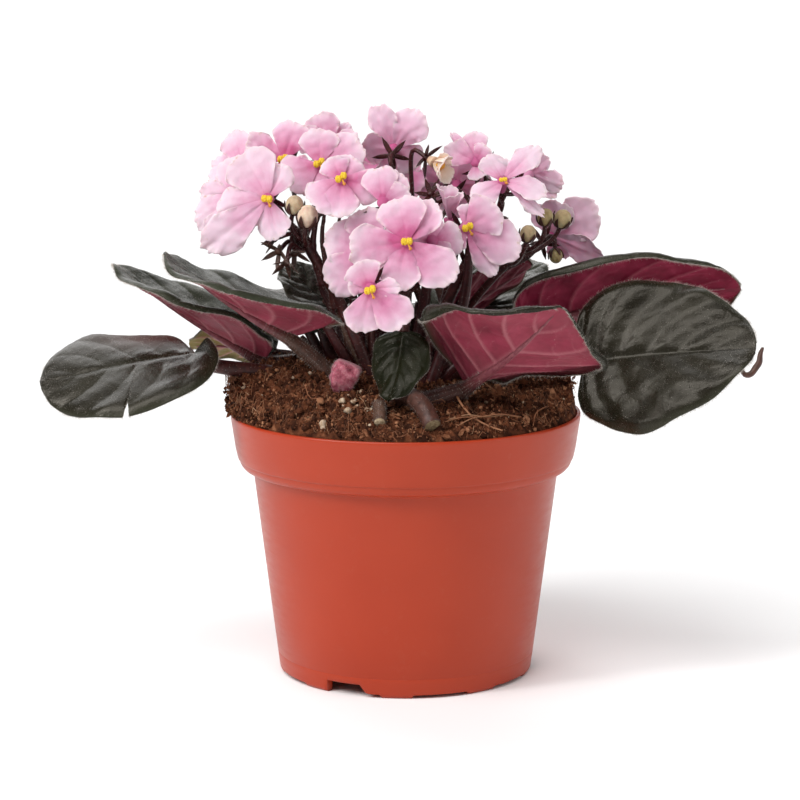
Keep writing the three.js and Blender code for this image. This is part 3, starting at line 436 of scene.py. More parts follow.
def to_picture(point):
    """The pixel of the picture where a point shows."""
    right, up, away = camera_ways() @ (point - EYE)
    return PICTURE / 2 + FOCAL / away * np.array([right, -up])


def from_picture(pixel, depth):
    """The point that shows at a pixel and stands at a depth along y."""
    over, down = (np.array(pixel) - PICTURE / 2) / FOCAL
    way = np.array([over, -down, 1]) @ camera_ways()
    return EYE + way * (depth - EYE[1]) / way[1]


def measure_bloom(bloom):
    """Works out a bloom's place and its petals [direction, reach, lean, width] from the picture."""
    if "at" in bloom:
        return
    at = bloom["at"] = from_picture(bloom["middle_px"], bloom["depth"])
    right, up, out = face_frame(bloom["face"])
    middle = to_picture(at)
    steps = np.stack([to_picture(at + right) - middle, to_picture(at + up) - middle], 1)
    bloom["petals"] = []
    for u, v, width, lean in bloom["tips_px"]:
        reach = 0
        for _ in range(PIXEL_ROUNDS):
            lifted = to_picture(at + out * reach * PETAL_LEANING * math.tan(math.radians(lean))) - middle
            a, b = np.linalg.solve(steps, [u, v] - middle - lifted)
            reach = math.hypot(a, b)
        reach /= math.cos(math.radians(0.8 * lean))
        half = PETAL_BROADER * width / PIXELS_PER_MM / 2
        direction = math.degrees(math.atan2(b, a))
        bloom["petals"].append((direction, reach, lean, half / (PETAL_WIDTH * petal_full(reach))))


# ---- Meshes ----
class Parts:
    """Gathers pieces of mesh, each with its material and its values per vertex, into one object."""

    def __init__(self):
        self.points, self.faces, self.slots, self.values = [], [], [], []
        self.count = 0

    def add(self, points, faces, slot=0, **values):
        points = np.asarray(points, float).reshape(-1, 3)
        count = len(points)
        for block in faces:
            block = np.asarray(block, int)
            self.faces.append(block + self.count)
            self.slots.append(np.full(len(block), slot))
        filled = {k: np.broadcast_to(np.asarray(v, float).reshape(-1), (count,)) for k, v in values.items()}
        self.values.append((count, filled))
        self.points.append(points)
        self.count += count

    def make(self, name, materials):
        mesh = bpy.data.meshes.new(name)
        points = (np.concatenate(self.points) + POT_AXIS) * MM
        mesh.vertices.add(len(points))
        mesh.vertices.foreach_set("co", points.astype(np.float32).ravel())
        sizes = np.concatenate([np.full(len(f), f.shape[1]) for f in self.faces])
        corners = np.concatenate([f.ravel() for f in self.faces])
        mesh.loops.add(len(corners))
        mesh.loops.foreach_set("vertex_index", corners.astype(np.int32))
        mesh.polygons.add(len(sizes))
        mesh.polygons.foreach_set("loop_start", np.concatenate([[0], np.cumsum(sizes)[:-1]]).astype(np.int32))
        mesh.polygons.foreach_set("material_index", np.concatenate(self.slots).astype(np.int32))
        mesh.polygons.foreach_set("use_smooth", np.full(len(sizes), True))
        mesh.update(calc_edges=True)
        for key in sorted({k for _, filled in self.values for k in filled}):
            layer = mesh.attributes.new(key, "FLOAT", "POINT")
            filled = [v[key] if key in v else np.zeros(n) for n, v in self.values]
            layer.data.foreach_set("value", np.concatenate(filled).astype(np.float32))
        for material in materials:
            mesh.materials.append(material)
        piece = bpy.data.objects.new(name, mesh)
        bpy.context.scene.collection.objects.link(piece)
        return piece


def hand_over(piece, node):
    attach(piece, "root")
    if node:
        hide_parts(node)


def grid_faces(rows, columns, closed=False):
    """Quads between the points of a grid, turned so that they face along row step x column step."""
    i = np.arange(rows - 1)[:, None]
    j = np.arange(columns if closed else columns - 1)[None, :]
    a = i * columns + j
    right = i * columns + (j + 1) % columns
    return np.stack([a, a + columns, right + columns, right], -1).reshape(-1, 4)


def grid_normals(grid):
    return unit(np.cross(np.gradient(grid, axis=0), np.gradient(grid, axis=1)))


def add_shell(parts, top, under, slots, **values):
    """A thin closed sheet between two grids. slots are the materials of the top and the under side."""
    rows, columns = top.shape[:2]
    count = rows * columns
    index = np.arange(count).reshape(rows, columns)
    rim = np.concatenate([index[0, :-1], index[:-1, -1], index[-1, :0:-1], index[:0:-1, 0]])
    after = np.roll(rim, -1)
    points = np.concatenate([top.reshape(-1, 3), under.reshape(-1, 3)])
    both = {k: np.tile(np.broadcast_to(v, (rows, columns)).ravel(), 2) for k, v in values.items()}
    front = grid_faces(rows, columns)
    edge = np.stack([rim, after, after + count, rim + count], -1)
    start = parts.count
    parts.add(points, [front, edge], slots[0], **both)
    parts.faces.append(front[:, ::-1] + count + start)
    parts.slots.append(np.full(len(front), slots[1]))


def curve_points(points, count):
    """Even steps along the smooth curve through the points (a centripetal Catmull-Rom curve)."""
    p = np.asarray(points, float)
    p = np.concatenate([[2 * p[0] - p[1]], p, [2 * p[-1] - p[-2]]])
    dense = []
    for a, b, c, d in zip(p[:-3], p[1:-2], p[2:-1], p[3:]):
        t0, t1, t2 = (max(np.linalg.norm(y - x), 1e-6) ** 0.5 for x, y in ((a, b), (b, c), (c, d)))
        m1 = ((b - a) / t0 - (c - a) / (t0 + t1) + (c - b) / t1) * t1
        m2 = ((c - b) / t1 - (d - b) / (t1 + t2) + (d - c) / t2) * t1
        t = np.linspace(0, 1, 25)[:-1, None]
        dense.append(b + m1 * t + (3 * (c - b) - 2 * m1 - m2) * t**2 + (2 * (b - c) + m1 + m2) * t**3)
    dense = np.concatenate([*dense, [p[-2]]])
    run = np.concatenate([[0], np.cumsum(np.linalg.norm(np.diff(dense, axis=0), axis=1))])
    even = np.linspace(0, run[-1], count)
    return np.stack([np.interp(even, run, dense[:, k]) for k in range(3)], -1)


def sweep(path, radius, sides):
    """Points and faces of a round limb along a path, closed at both ends, with its outward normals."""
    path = np.asarray(path, float)
    ways = unit(np.gradient(path, axis=0))
    side = unit(np.cross(ways[0], [0.3, 0.1, 1.0]))
    sides_of = []
    for way in ways:
        side = unit(side - way * (side @ way))
        sides_of.append(side)
    across = np.array(sides_of)
    lift = np.cross(ways, across)
    turns = np.linspace(0, 2 * math.pi, sides, endpoint=False)
    radius = np.broadcast_to(np.asarray(radius, float), (len(path),))
    out = across[:, None] * np.cos(turns)[None, :, None] + lift[:, None] * np.sin(turns)[None, :, None]
    rings = path[:, None] + out * radius[:, None, None]
    points = np.concatenate([rings.reshape(-1, 3), path[:1], path[-1:]])
    count = len(path) * sides
    k = np.arange(sides)
    after = (k + 1) % sides
    last = count - sides
    foot = np.stack([np.full(sides, count), after, k], -1)
    head = np.stack([np.full(sides, count + 1), last + k, last + after], -1)
    body = grid_faces(len(path), sides, closed=True)[:, ::-1]
    normals = np.concatenate([unit(out).reshape(-1, 3), -ways[:1], ways[-1:]])
    return points, [body, foot, head], normals


def add_hairs(parts, roots, ways, length, radius, slot, source, spread=0.35):
    """Fine closed spikes of three sides, their foot sunk in what they grow from."""
    count = len(roots)
    ways = unit(ways + source.normal(scale=spread, size=(count, 3)))
    side = unit(np.cross(ways, source.normal(size=(count, 3))))
    other = np.cross(ways, side)
    reach = length * source.uniform(0.55, 1.15, count)[:, None]
    foot = roots - ways * HAIR_SUNK
    turns = np.radians([0, 120, 240])
    ring = [foot + (side * math.cos(turn) + other * math.sin(turn)) * radius for turn in turns]
    points = np.stack([*ring, roots + ways * reach], 1).reshape(-1, 3)
    base = np.arange(count)[:, None, None] * 4
    faces = np.array([[0, 2, 1], [0, 1, 3], [1, 2, 3], [2, 0, 3]])[None] + base
    parts.add(points, [faces.reshape(-1, 3)], slot)


def add_limb_hairs(parts, points, out, count, length, radius, slot, source):
    """Hairs at random points of a limb, along its outward normals."""
    i = source.integers(0, len(points), count)
    add_hairs(parts, points[i], out[i], length, radius, slot, source)


def add_strip(parts, grid, half_thickness, slot, tone):
    """A thin closed strip about a grid, of one material. Gives the grid's normals."""
    normals = grid_normals(grid)
    lift = normals * half_thickness
    add_shell(parts, grid + lift, grid - lift, (slot, slot), tone=tone)
    return normals


def strip_grid(rows, columns):
    """Where a strip's points lie along it (0 to 1) and across it (-1 to 1)."""
    return np.meshgrid(np.linspace(0, 1, rows), np.linspace(-1, 1, columns), indexing="ij")


# ---- Materials ----
class Paint:
    """A Principled material and the few kinds of node that the materials here are made of."""

    def __init__(self, name, **sockets):
        self.material = bpy.data.materials.new(name)
        self.material.use_nodes = True
        self.tree = self.material.node_tree
        self.shader = self.tree.nodes["Principled BSDF"]
        for socket, value in sockets.items():
            self.shader.inputs[socket.replace("_", " ")].default_value = value
        self.place = self.node("TexCoord").outputs["Object"]

    def node(self, kind, **settings):
        made = self.tree.nodes.new("ShaderNode" + kind)
        for key, value in settings.items():
            setattr(made, key, value)
        return made

    def feed(self, socket, value):
        if isinstance(value, bpy.types.NodeSocket):
            self.tree.links.new(value, socket)
        else:
            socket.default_value = value

    def noise(self, size_mm, detail=3.0, rough=0.55, stretch=None):
        made = self.node("TexNoise")
        place = self.place
        if stretch:
            mapping = self.node("Mapping")
            mapping.inputs["Scale"].default_value = stretch
            self.feed(mapping.inputs["Vector"], place)
            place = mapping.outputs["Vector"]
        self.feed(made.inputs["Vector"], place)
        made.inputs["Scale"].default_value = 1 / (size_mm * MM)
        made.inputs["Detail"].default_value = detail
        made.inputs["Roughness"].default_value = rough
        return made.outputs["Fac"]

    def cells(self, size_mm, feature="F1"):
        made = self.node("TexVoronoi", feature=feature)
        self.feed(made.inputs["Vector"], self.place)
        made.inputs["Scale"].default_value = 1 / (size_mm * MM)
        return made.outputs["Distance"]

    def value(self, name):
        return self.node("Attribute", attribute_name=name).outputs["Fac"]

    def ramp(self, factor, *stops):
        made = self.node("ValToRGB")
        entries = made.color_ramp.elements
        while len(entries) < len(stops):
            entries.new(0.5)
        for entry, (at, colour) in zip(entries, stops):
            entry.position = at
            entry.color = (*colour, 1)
        self.feed(made.inputs["Fac"], factor)
        return made.outputs["Color"]

    def mix(self, factor, a, b):
        made = self.node("Mix", data_type="RGBA")
        self.feed(made.inputs[0], factor)
        self.feed(made.inputs[6], (*a, 1) if isinstance(a, tuple) else a)
        self.feed(made.inputs[7], (*b, 1) if isinstance(b, tuple) else b)
        return made.outputs[2]

    def span(self, value, low, high, to_low=0.0, to_high=1.0):
        made = self.node("MapRange")
        for socket, number in zip(("From Min", "From Max", "To Min", "To Max"), (low, high, to_low, to_high)):
            made.inputs[socket].default_value = number
        self.feed(made.inputs["Value"], value)
        return made.outputs["Result"]

    def maths(self, kind, a, b):
        made = self.node("Math", operation=kind)
        self.feed(made.inputs[0], a)
        self.feed(made.inputs[1], b)
        return made.outputs[0]

    def bump(self, height, depth_mm, strength=1.0):
        made = self.node("Bump")
        made.inputs["Strength"].default_value = strength
        made.inputs["Distance"].default_value = depth_mm * MM
        self.feed(made.inputs["Height"], height)
        if self.shader.inputs["Normal"].links:
            self.feed(made.inputs["Normal"], self.shader.inputs["Normal"].links[0].from_socket)
        self.feed(self.shader.inputs["Normal"], made.outputs["Normal"])

    def colour(self, value):
        self.feed(self.shader.inputs["Base Color"], value)


def pot_plastic():
    paint = Paint("pot_plastic", Roughness=0.36, Specular_IOR_Level=0.32)
    cloud = paint.noise(38, 2)
    colour = paint.ramp(cloud, (0.3, (0.37, 0.034, 0.008)), (0.7, (0.4, 0.04, 0.0105)))
    dust = paint.span(paint.noise(5, 5, 0.7), 0.58, 0.85, 0, 0.05)
    paint.colour(paint.mix(dust, colour, (0.5, 0.3, 0.22)))
    scuffs = paint.noise(9, 4, 0.6, (1, 1, 5))
    paint.feed(paint.shader.inputs["Roughness"], paint.span(scuffs, 0.3, 0.75, 0.31, 0.42))
    paint.bump(paint.noise(0.9, 2), 0.012, 0.4)
    return paint.material


def soil_paint():
    paint = Paint("soil_peat", Roughness=0.95, Specular_IOR_Level=0.12)
    tone = paint.value("tone")
    grain = paint.noise(1.3, 6, 0.7)
    mixed = paint.maths("ADD", paint.maths("MULTIPLY", tone, 0.6), paint.maths("MULTIPLY", grain, 0.5))
    colour = paint.ramp(mixed, (0.16, (0.008, 0.003, 0.0018)), (0.36, (0.046, 0.0145, 0.0068)),
                        (0.56, (0.15, 0.05, 0.022)), (0.8, (0.42, 0.2, 0.105)))
    paint.colour(colour)
    paint.bump(paint.noise(0.8, 5, 0.75), 0.5, 0.9)
    return paint.material


def fibre_paint():
    paint = Paint("root_fibre", Roughness=0.7, Specular_IOR_Level=0.3)
    tone = paint.value("tone")
    paint.colour(paint.ramp(tone, (0.0, (0.07, 0.028, 0.015)), (0.45, (0.3, 0.12, 0.055)),
                            (1.0, (0.6, 0.42, 0.25))))
    paint.bump(paint.noise(0.6, 3), 0.08)
    return paint.material


def perlite_paint():
    paint = Paint("perlite", Roughness=0.9, Specular_IOR_Level=0.3)
    paint.colour(paint.ramp(paint.noise(0.9, 4), (0.35, (0.3, 0.19, 0.11)), (0.65, (0.62, 0.49, 0.36))))
    paint.bump(paint.noise(0.4, 4), 0.15)
    return paint.material


def leaf_top_paint(name, dark, light, sheen, gloss):
    paint = Paint(name, Roughness=0.4, Specular_IOR_Level=gloss, Sheen_Weight=sheen, Sheen_Roughness=0.4)
    vein = paint.maths("MULTIPLY", paint.value("vein"), paint.value("faint"))
    edge = paint.value("edge")
    flesh = paint.ramp(paint.noise(11, 3), (0.3, dark), (0.7, light))
    flesh = paint.mix(paint.span(vein, 0, 1, 0, 0.3), flesh, (0.03, 0.034, 0.018))
    flesh = paint.mix(paint.value("stain"), flesh, (0.08, 0.009, 0.0045))
    paint.colour(paint.mix(paint.span(edge, 0.3, 1, 0, 0.4), flesh, (0.05, 0.056, 0.034)))
    grain = paint.noise(0.35, 4, 0.7)
    paint.shader.inputs["Specular Tint"].default_value = (1, 0.93, 0.82, 1)
    worn = paint.maths("MULTIPLY", paint.value("stain"), 0.6)
    rough = paint.maths("ADD", paint.span(grain, 0.3, 0.7, 0.2, 0.34), worn)
    paint.feed(paint.shader.inputs["Roughness"], rough)
    paint.bump(paint.cells(2.2, "SMOOTH_F1"), 0.3, 0.16)
    paint.bump(paint.cells(0.55), 0.09, 0.6)
    paint.bump(grain, 0.08, 0.5)
    return paint.material


def leaf_under_paint():
    paint = Paint("leaf_under", Roughness=0.5, Specular_IOR_Level=0.1)
    vein = paint.value("vein")
    edge = paint.value("edge")
    green = paint.value("green")
    cloud = paint.noise(9, 3)
    flesh = paint.ramp(cloud, (0.3, (0.12, 0.007, 0.021)), (0.55, (0.21, 0.014, 0.04)),
                       (0.75, (0.29, 0.028, 0.065)))
    # Pale patches where the hairs are thick: partly the hairs' own pale tone, partly painted sheen of the
    # hairs catching the light.
    hair_sheen_patches = paint.span(paint.noise(16, 3, 0.5), 0.2, 0.8, 0.2, 0.72)
    fuzz = paint.maths("MULTIPLY", paint.value("fuzz"), hair_sheen_patches)
    flesh = paint.mix(paint.span(fuzz, 0, 1, 0, 0.62), flesh, (0.42, 0.13, 0.15))
    flesh = paint.mix(green, flesh, (0.2, 0.19, 0.06))
    vein = paint.maths("MULTIPLY", vein, paint.span(paint.value("faint"), 0, 1, 0.3, 1))
    flesh = paint.mix(paint.span(vein, 0.08, 0.9, 0, 0.48), flesh, (0.46, 0.18, 0.2))
    paint.colour(paint.mix(paint.span(edge, 0.1, 1, 0, 0.9), flesh, (0.07, 0.08, 0.045)))
    paint.bump(paint.cells(1.6, "SMOOTH_F1"), 0.3, 0.4)
    paint.bump(paint.noise(0.4, 3, 0.7), 0.1, 0.5)
    return paint.material


def stalk_paint():
    paint = Paint("stalk", Roughness=0.4, Specular_IOR_Level=0.3)
    tone = paint.value("tone")
    rib = paint.value("rib")
    streaks = paint.noise(1.6, 4, 0.65)
    dark = paint.ramp(streaks, (0.3, (0.022, 0.004, 0.004)), (0.7, (0.07, 0.012, 0.012)))
    pale = paint.ramp(streaks, (0.3, (0.06, 0.038, 0.024)), (0.7, (0.16, 0.1, 0.065)))
    crimson = paint.ramp(streaks, (0.3, (0.13, 0.02, 0.035)), (0.7, (0.25, 0.08, 0.09)))
    paint.colour(paint.mix(rib, paint.mix(tone, dark, pale), crimson))
    paint.bump(streaks, 0.12, 0.6)
    return paint.material


def petal_paint(name, deep, middle, pale):
    paint = Paint(name, Roughness=0.55, Specular_IOR_Level=0.25, Sheen_Weight=0.08, Sheen_Roughness=0.4,
                  Subsurface_Weight=0.25, Subsurface_Scale=0.0015)
    paint.shader.inputs["Subsurface Radius"].default_value = (1.0, 0.5, 0.6)
    along = paint.value("along")
    vein = paint.value("vein")
    patch = paint.noise(6, 3)
    mixed = paint.maths("ADD", along, paint.span(patch, 0.3, 0.7, -0.16, 0.16))
    blend = tuple(0.4 * a + 0.6 * b for a, b in zip(deep, middle))
    colour = paint.ramp(mixed, (0.04, deep), (0.3, blend), (0.55, middle), (0.98, pale))
    colour = paint.mix(paint.span(vein, 0, 1, 0, 0.16), colour, deep)
    rim = paint.value("rim")
    colour = paint.mix(paint.span(rim, 0.1, 1, 0, 0.45), colour, (0.84, 0.66, 0.66))
    flecks = paint.maths("MULTIPLY", rim, paint.span(paint.noise(1.5, 3), 0.6, 0.72))
    paint.colour(paint.mix(paint.span(flecks, 0, 1, 0, 0.6), colour, (0.5, 0.3, 0.16)))
    paint.bump(paint.noise(2.2, 3), 0.2, 0.35)
    paint.bump(paint.noise(0.3, 2), 0.05, 0.5)
    return paint.material


def anther_paint():
    paint = Paint("anther", Roughness=0.6, Specular_IOR_Level=0.3, Subsurface_Weight=0.15,
                  Subsurface_Scale=0.001)
    tone = paint.value("tone")
    powder = paint.noise(0.35, 3)
    yellow = paint.ramp(powder, (0.35, (0.6, 0.33, 0.008)), (0.65, (0.9, 0.66, 0.05)))
    paint.colour(paint.mix(tone, yellow, (0.62, 0.24, 0.05)))
    paint.bump(powder, 0.06)
    return paint.material


def bud_paint():
    paint = Paint("bud", Roughness=0.55, Specular_IOR_Level=0.35, Sheen_Weight=0.2,
                  Subsurface_Weight=0.2, Subsurface_Scale=0.0015)
    cloud = paint.noise(2.2, 3)
    cream = paint.ramp(cloud, (0.3, (0.62, 0.42, 0.32)), (0.7, (0.8, 0.64, 0.5)))
    olive = paint.ramp(cloud, (0.3, (0.27, 0.2, 0.08)), (0.7, (0.45, 0.34, 0.16)))
    paint.colour(paint.mix(paint.value("tone"), cream, olive))
    paint.bump(paint.noise(0.5, 3), 0.05)
    return paint.material


def hair_paint():
    paint = Paint("fine_hair", Roughness=0.5, Specular_IOR_Level=0.4)
    colour = (0.62, 0.56, 0.5)
    paint.colour(paint.ramp(paint.noise(4, 2), (0.3, tuple(0.85 * c for c in colour)), (0.7, colour)))
    return paint.material


def young_paint():
    paint = Paint("young_leaf_skin", Roughness=0.55, Specular_IOR_Level=0.3, Sheen_Weight=0.15,
                  Subsurface_Weight=0.15, Subsurface_Scale=0.0015)
    cloud = paint.noise(2.4, 4, 0.6)
    paint.colour(paint.ramp(cloud, (0.32, (0.17, 0.018, 0.035)), (0.48, (0.38, 0.085, 0.125)),
                            (0.68, (0.56, 0.23, 0.27))))
    paint.bump(paint.noise(0.9, 4), 0.45, 0.8)
    return paint.material


def cut_paint():
    paint = Paint("cut_end", Roughness=0.7, Specular_IOR_Level=0.3)
    cloud = paint.noise(1.0, 4)
    tan = paint.ramp(cloud, (0.35, (0.1, 0.065, 0.03)), (0.65, (0.26, 0.2, 0.11)))
    cream = paint.ramp(cloud, (0.35, (0.3, 0.2, 0.11)), (0.65, (0.55, 0.45, 0.3)))
    paint.colour(paint.mix(paint.value("tone"), tan, cream))
    paint.bump(paint.noise(0.5, 3), 0.2)
    return paint.material


# ---- Pot ----
def pot_profile():
    """Points [radius, height] once round the wall: foot ring, outside, rim, inside and floor."""
    floor_top = FLOOR_HEIGHT + FLOOR_THICKNESS
    ring_inner = FOOT_RADIUS - FOOT_RING
    lip_radius = RIM_RADIUS - LIP
    ring = [(AXIS_HOLE, FLOOR_HEIGHT), (ring_inner - 0.3, FLOOR_HEIGHT), (ring_inner, 4.3),
            (ring_inner, 0.25), (ring_inner + 0.25, 0), (FOOT_RADIUS - 0.8, 0), (FOOT_RADIUS - 0.35, 0.2),
            (FOOT_RADIUS + 0.1, 0.8)]
    slope = (SHOULDER_RADIUS - FOOT_RADIUS - 0.3) / (SHOULDER_HEIGHT - 1.2)
    wall = [(FOOT_RADIUS + 0.3 + slope * (z - 1.2) - FOOT_LINE.get(z, 0), z) for z in WALL_HEIGHTS]
    rim = [(RIM_RADIUS - 0.15, 88.8), (RIM_RADIUS - 0.14, 89.5), (RIM_RADIUS - 0.3, 89.9),
           (RIM_RADIUS - 0.6, POT_HEIGHT)]
    lip = [(lip_radius + 0.3, POT_HEIGHT), (lip_radius + 0.08, 89.85), (lip_radius, 89.5),
           (lip_radius - 0.2, 84)]
    inner = [(COLLAR_RADIUS - 1.2, COLLAR_GROOVE - 0.4), (COLLAR_RADIUS - 2.7, COLLAR_BOTTOM + 2.6),
             (SHOULDER_RADIUS - WALL, SHOULDER_HEIGHT + 3), (FOOT_RADIUS + 1.3 - WALL, floor_top + 2),
             (FOOT_RADIUS - 0.7 - WALL, floor_top), (AXIS_HOLE, floor_top)]
    return np.array(ring + wall + COLLAR + rim + lip + inner)


def foot_notches():
    """The foot ring's notches [middle, half width, depth, ramp before, ramp after], a drain at each third."""
    notches = []
    for k in range(FOOT_NOTCHES):
        middle = FIRST_NOTCH + k * 360 / FOOT_NOTCHES
        notches.append((middle, NOTCH_DEGREES / 2, NOTCH_DEPTH, 0.6, 0.6))
        if k % 3 == 0:
            notches.append((middle - FROM_DRAIN, DRAIN_DEGREES / 2, DRAIN_DEPTH, 0.6, 4.0))
    return notches


def make_pot():
    notches = foot_notches()
    edges = []
    for middle, half, _, before, after in notches:
        edges += [middle - half, middle - half + before, middle + half - after, middle + half]
    even = np.arange(POT_SEGMENTS) * 360 / POT_SEGMENTS
    turns = np.unique(np.round(np.concatenate([even, edges]) % 360, 3))
    cut = np.zeros(len(turns))
    for middle, half, depth, before, after in notches:
        from_middle = (turns - middle + 180) % 360 - 180
        share = np.minimum((from_middle + half) / before, (half - from_middle) / after)
        cut = np.maximum(cut, depth * np.clip(share, 0, 1))
    profile = pot_profile()
    angle = np.radians(turns)[None, :]
    radius = profile[:, :1] + 0 * angle
    height = np.maximum(profile[:, 1:], np.where(profile[:, 1:] < FLOOR_HEIGHT - 0.1, cut[None, :], 0))
    grid = np.stack([radius * np.cos(angle), radius * np.sin(angle), height], -1)
    first_ring = np.arange(len(turns))
    caps = [[first_ring[::-1]], [first_ring + (len(profile) - 1) * len(turns)]]
    parts = Parts()
    parts.add(grid, [grid_faces(*grid.shape[:2], closed=True)[:, ::-1], *caps])
    pot = parts.make("pot_shell", [pot_plastic()])
    for k in range(0, FOOT_NOTCHES, 3):
        cut_drain(pot, FIRST_NOTCH + k * 360 / FOOT_NOTCHES - FROM_DRAIN)
    hand_over(pot, "pot")


def cut_drain(pot, degrees):
    """A slot through the pot's floor, from the foot ring inwards."""
    long, wide, high = DRAIN_SLOT
    corners = np.array([[x, y, z] for x in (-0.5, 0.5) for y in (-0.5, 0.5) for z in (-0.5, 0.5)])
    box = corners * [long, wide, high] + [FOOT_RADIUS - 4 - long / 2, 0, FLOOR_HEIGHT]
    cosine, sine = math.cos(math.radians(degrees)), math.sin(math.radians(degrees))
    box = box @ np.array([[cosine, sine, 0], [-sine, cosine, 0], [0, 0, 1]])
    parts = Parts()
    parts.add(box, [[[0, 1, 3, 2], [4, 6, 7, 5], [0, 4, 5, 1], [2, 3, 7, 6], [0, 2, 6, 4], [1, 5, 7, 3]]])
    cutter = parts.make("drain_cutter", [])
    boolean = pot.modifiers.new("drain", "BOOLEAN")
    boolean.operation = "DIFFERENCE"
    boolean.solver = "EXACT"
    boolean.object = cutter
    bpy.context.view_layer.update()
    cut = bpy.data.meshes.new_from_object(pot.evaluated_get(bpy.context.evaluated_depsgraph_get()))
    pot.modifiers.clear()
    pot.data = cut
    bpy.data.objects.remove(cutter)


# ---- Soil ----
def bank(x, y, middle, spread, height):
    """A heap against the rim."""
    return height * np.exp(-((x - middle[0]) ** 2 / spread[0] + (y - middle[1]) ** 2 / spread[1]))


def soil_height(x, y):
    """The heap as the part's source has it."""
    crumb = 1.1 * np.sin(0.9 * x + 1.7 * y) + 0.9 * np.sin(1.3 * x - 0.8 * y + 2) * np.cos(0.5 * y)
    r = np.minimum(np.hypot(x, y) / RIM_RADIUS, 1)
    left = bank(x, y, (-58, 6), (420, 700), SOIL_BANK)
    return SOIL_LEVEL + SOIL_CROWN * (1 - r**1.6) + left + 0.6 * crumb


def soil_reach(angle):
    """How far the soil reaches from the middle: to the rim, and over it at the left."""
    return RIM_RADIUS - LIP - 0.3 + SOIL_SPILL * bell(angle % (2 * math.pi) - math.pi, 0.5)


def soil_top(x, y):
    """The fine surface: the heap with lumps and pits, a bank on the right and a mound at the left."""
    flat = np.stack([x, y, 0 * x], -1)
    lumps = 0.9 * ripple(flat, 6, 1) + 0.8 * ripple(flat, 2.6, 2) - 1.0 * np.abs(ripple(flat, 1.7, 3))
    r = np.hypot(x, y)
    settle = smoothstep(r, 50, RIM_RADIUS) * smoothstep(-x, -30, 20)
    right = bank(x, y, (60, 12), (190, 520), RIGHT_BANK)
    left = bank(x, y, (-32, -2), (400, 1400), LEFT_MOUND)
    return soil_height(x, y) + lumps + right + left - settle


def base_ball(level):
    bpy.ops.mesh.primitive_ico_sphere_add(subdivisions=level, radius=1)
    ball = bpy.context.object
    points = np.array([v.co for v in ball.data.vertices])
    faces = np.array([p.vertices for p in ball.data.polygons])
    bpy.data.objects.remove(ball)
    return points, faces


def add_chips(parts, places, sizes, tones, slot, source, level=1, rough=0.3, flat=(0.3, 1.5)):
    """Irregular chips, each a ball with its points pushed about, flattened and turned at random."""
    ball, faces = base_ball(level)
    count = len(places)
    pushed = ball[None] * (1 + source.normal(scale=rough, size=(count, len(ball), 1)).clip(-0.6, 0.7))
    pushed *= source.uniform(*flat, size=(count, 1, 3))
    turn = np.linalg.qr(source.normal(size=(count, 3, 3)))[0]
    turn[:, :, 0] *= np.sign(np.linalg.det(turn))[:, None]
    shaped = np.einsum("nvi,nij->nvj", pushed, turn) * sizes[:, None, None] + places[:, None]
    offset = np.arange(count)[:, None, None] * len(ball)
    parts.add(shaped, [(faces[None] + offset).reshape(-1, 3)], slot, tone=np.repeat(tones, len(ball)))


def soil_places(count, source, margin):
    """Even random places on the soil's top."""
    angle = source.uniform(0, 2 * math.pi, count)
    r = np.sqrt(source.uniform(0, 1, count)) * (soil_reach(angle) - margin)
    x, y = r * np.cos(angle), r * np.sin(angle)
    return np.stack([x, y, soil_top(x, y)], -1)


def fibre_paths(starts, lengths, source, lift, curl):
    """Routes that wander over the soil, their middles a little clear of it."""
    count = len(starts)
    share = np.linspace(0, 1, FIBRE_STEPS)
    first = source.uniform(0, 2 * math.pi, (count, 1))
    bend = source.normal(scale=curl, size=(count, 1)) / FIBRE_STEPS
    turn = first + np.cumsum(bend + source.normal(scale=0.3, size=(count, FIBRE_STEPS)), 1)
    pace = (lengths / FIBRE_STEPS)[:, None]
    x = starts[:, :1] + np.cumsum(pace * np.cos(turn), 1)
    y = starts[:, 1:2] + np.cumsum(pace * np.sin(turn), 1)
    inside = np.minimum(1, (soil_reach(np.arctan2(y, x)) + 0.5) / np.hypot(x, y))
    x, y = x * inside, y * inside
    arch = np.sin(math.pi * share)[None] * source.uniform(*lift, (count, 1)) + 0.1
    tilt = (share - 0.5)[None] * source.normal(scale=0.35, size=(count, 1)) * lengths[:, None]
    return np.stack([x, y, soil_top(x, y) + arch + np.maximum(tilt, -0.2)], -1)


def add_fibres(parts, starts, lengths, radii, tones, source, lift, curl):
    """Many fine closed threads."""
    paths = fibre_paths(starts, lengths, source, lift, curl)
    ways = unit(np.gradient(paths, axis=1))
    side = unit(np.cross(ways, [0.1, 0.2, 1.0]))
    up = np.cross(side, ways)
    turns = np.linspace(0, 2 * math.pi, FIBRE_SIDES, endpoint=False)
    girth = radii[:, None] * (1 - 0.5 * np.linspace(0, 1, FIBRE_STEPS))[None]
    ring = side[:, :, None] * np.cos(turns)[:, None] + up[:, :, None] * np.sin(turns)[:, None]
    points = paths[:, :, None] + ring * girth[:, :, None, None]
    each = FIBRE_STEPS * FIBRE_SIDES
    offset = np.arange(len(starts))[:, None, None] * each
    body = (grid_faces(FIBRE_STEPS, FIBRE_SIDES, closed=True)[None] + offset).reshape(-1, 4)
    first_end = np.arange(FIBRE_SIDES)
    ends = np.array([first_end, (first_end + each - FIBRE_SIDES)[::-1]])
    caps = (ends[None] + offset).reshape(-1, FIBRE_SIDES)
    parts.add(points, [body, caps], 1, tone=np.repeat(tones, each))


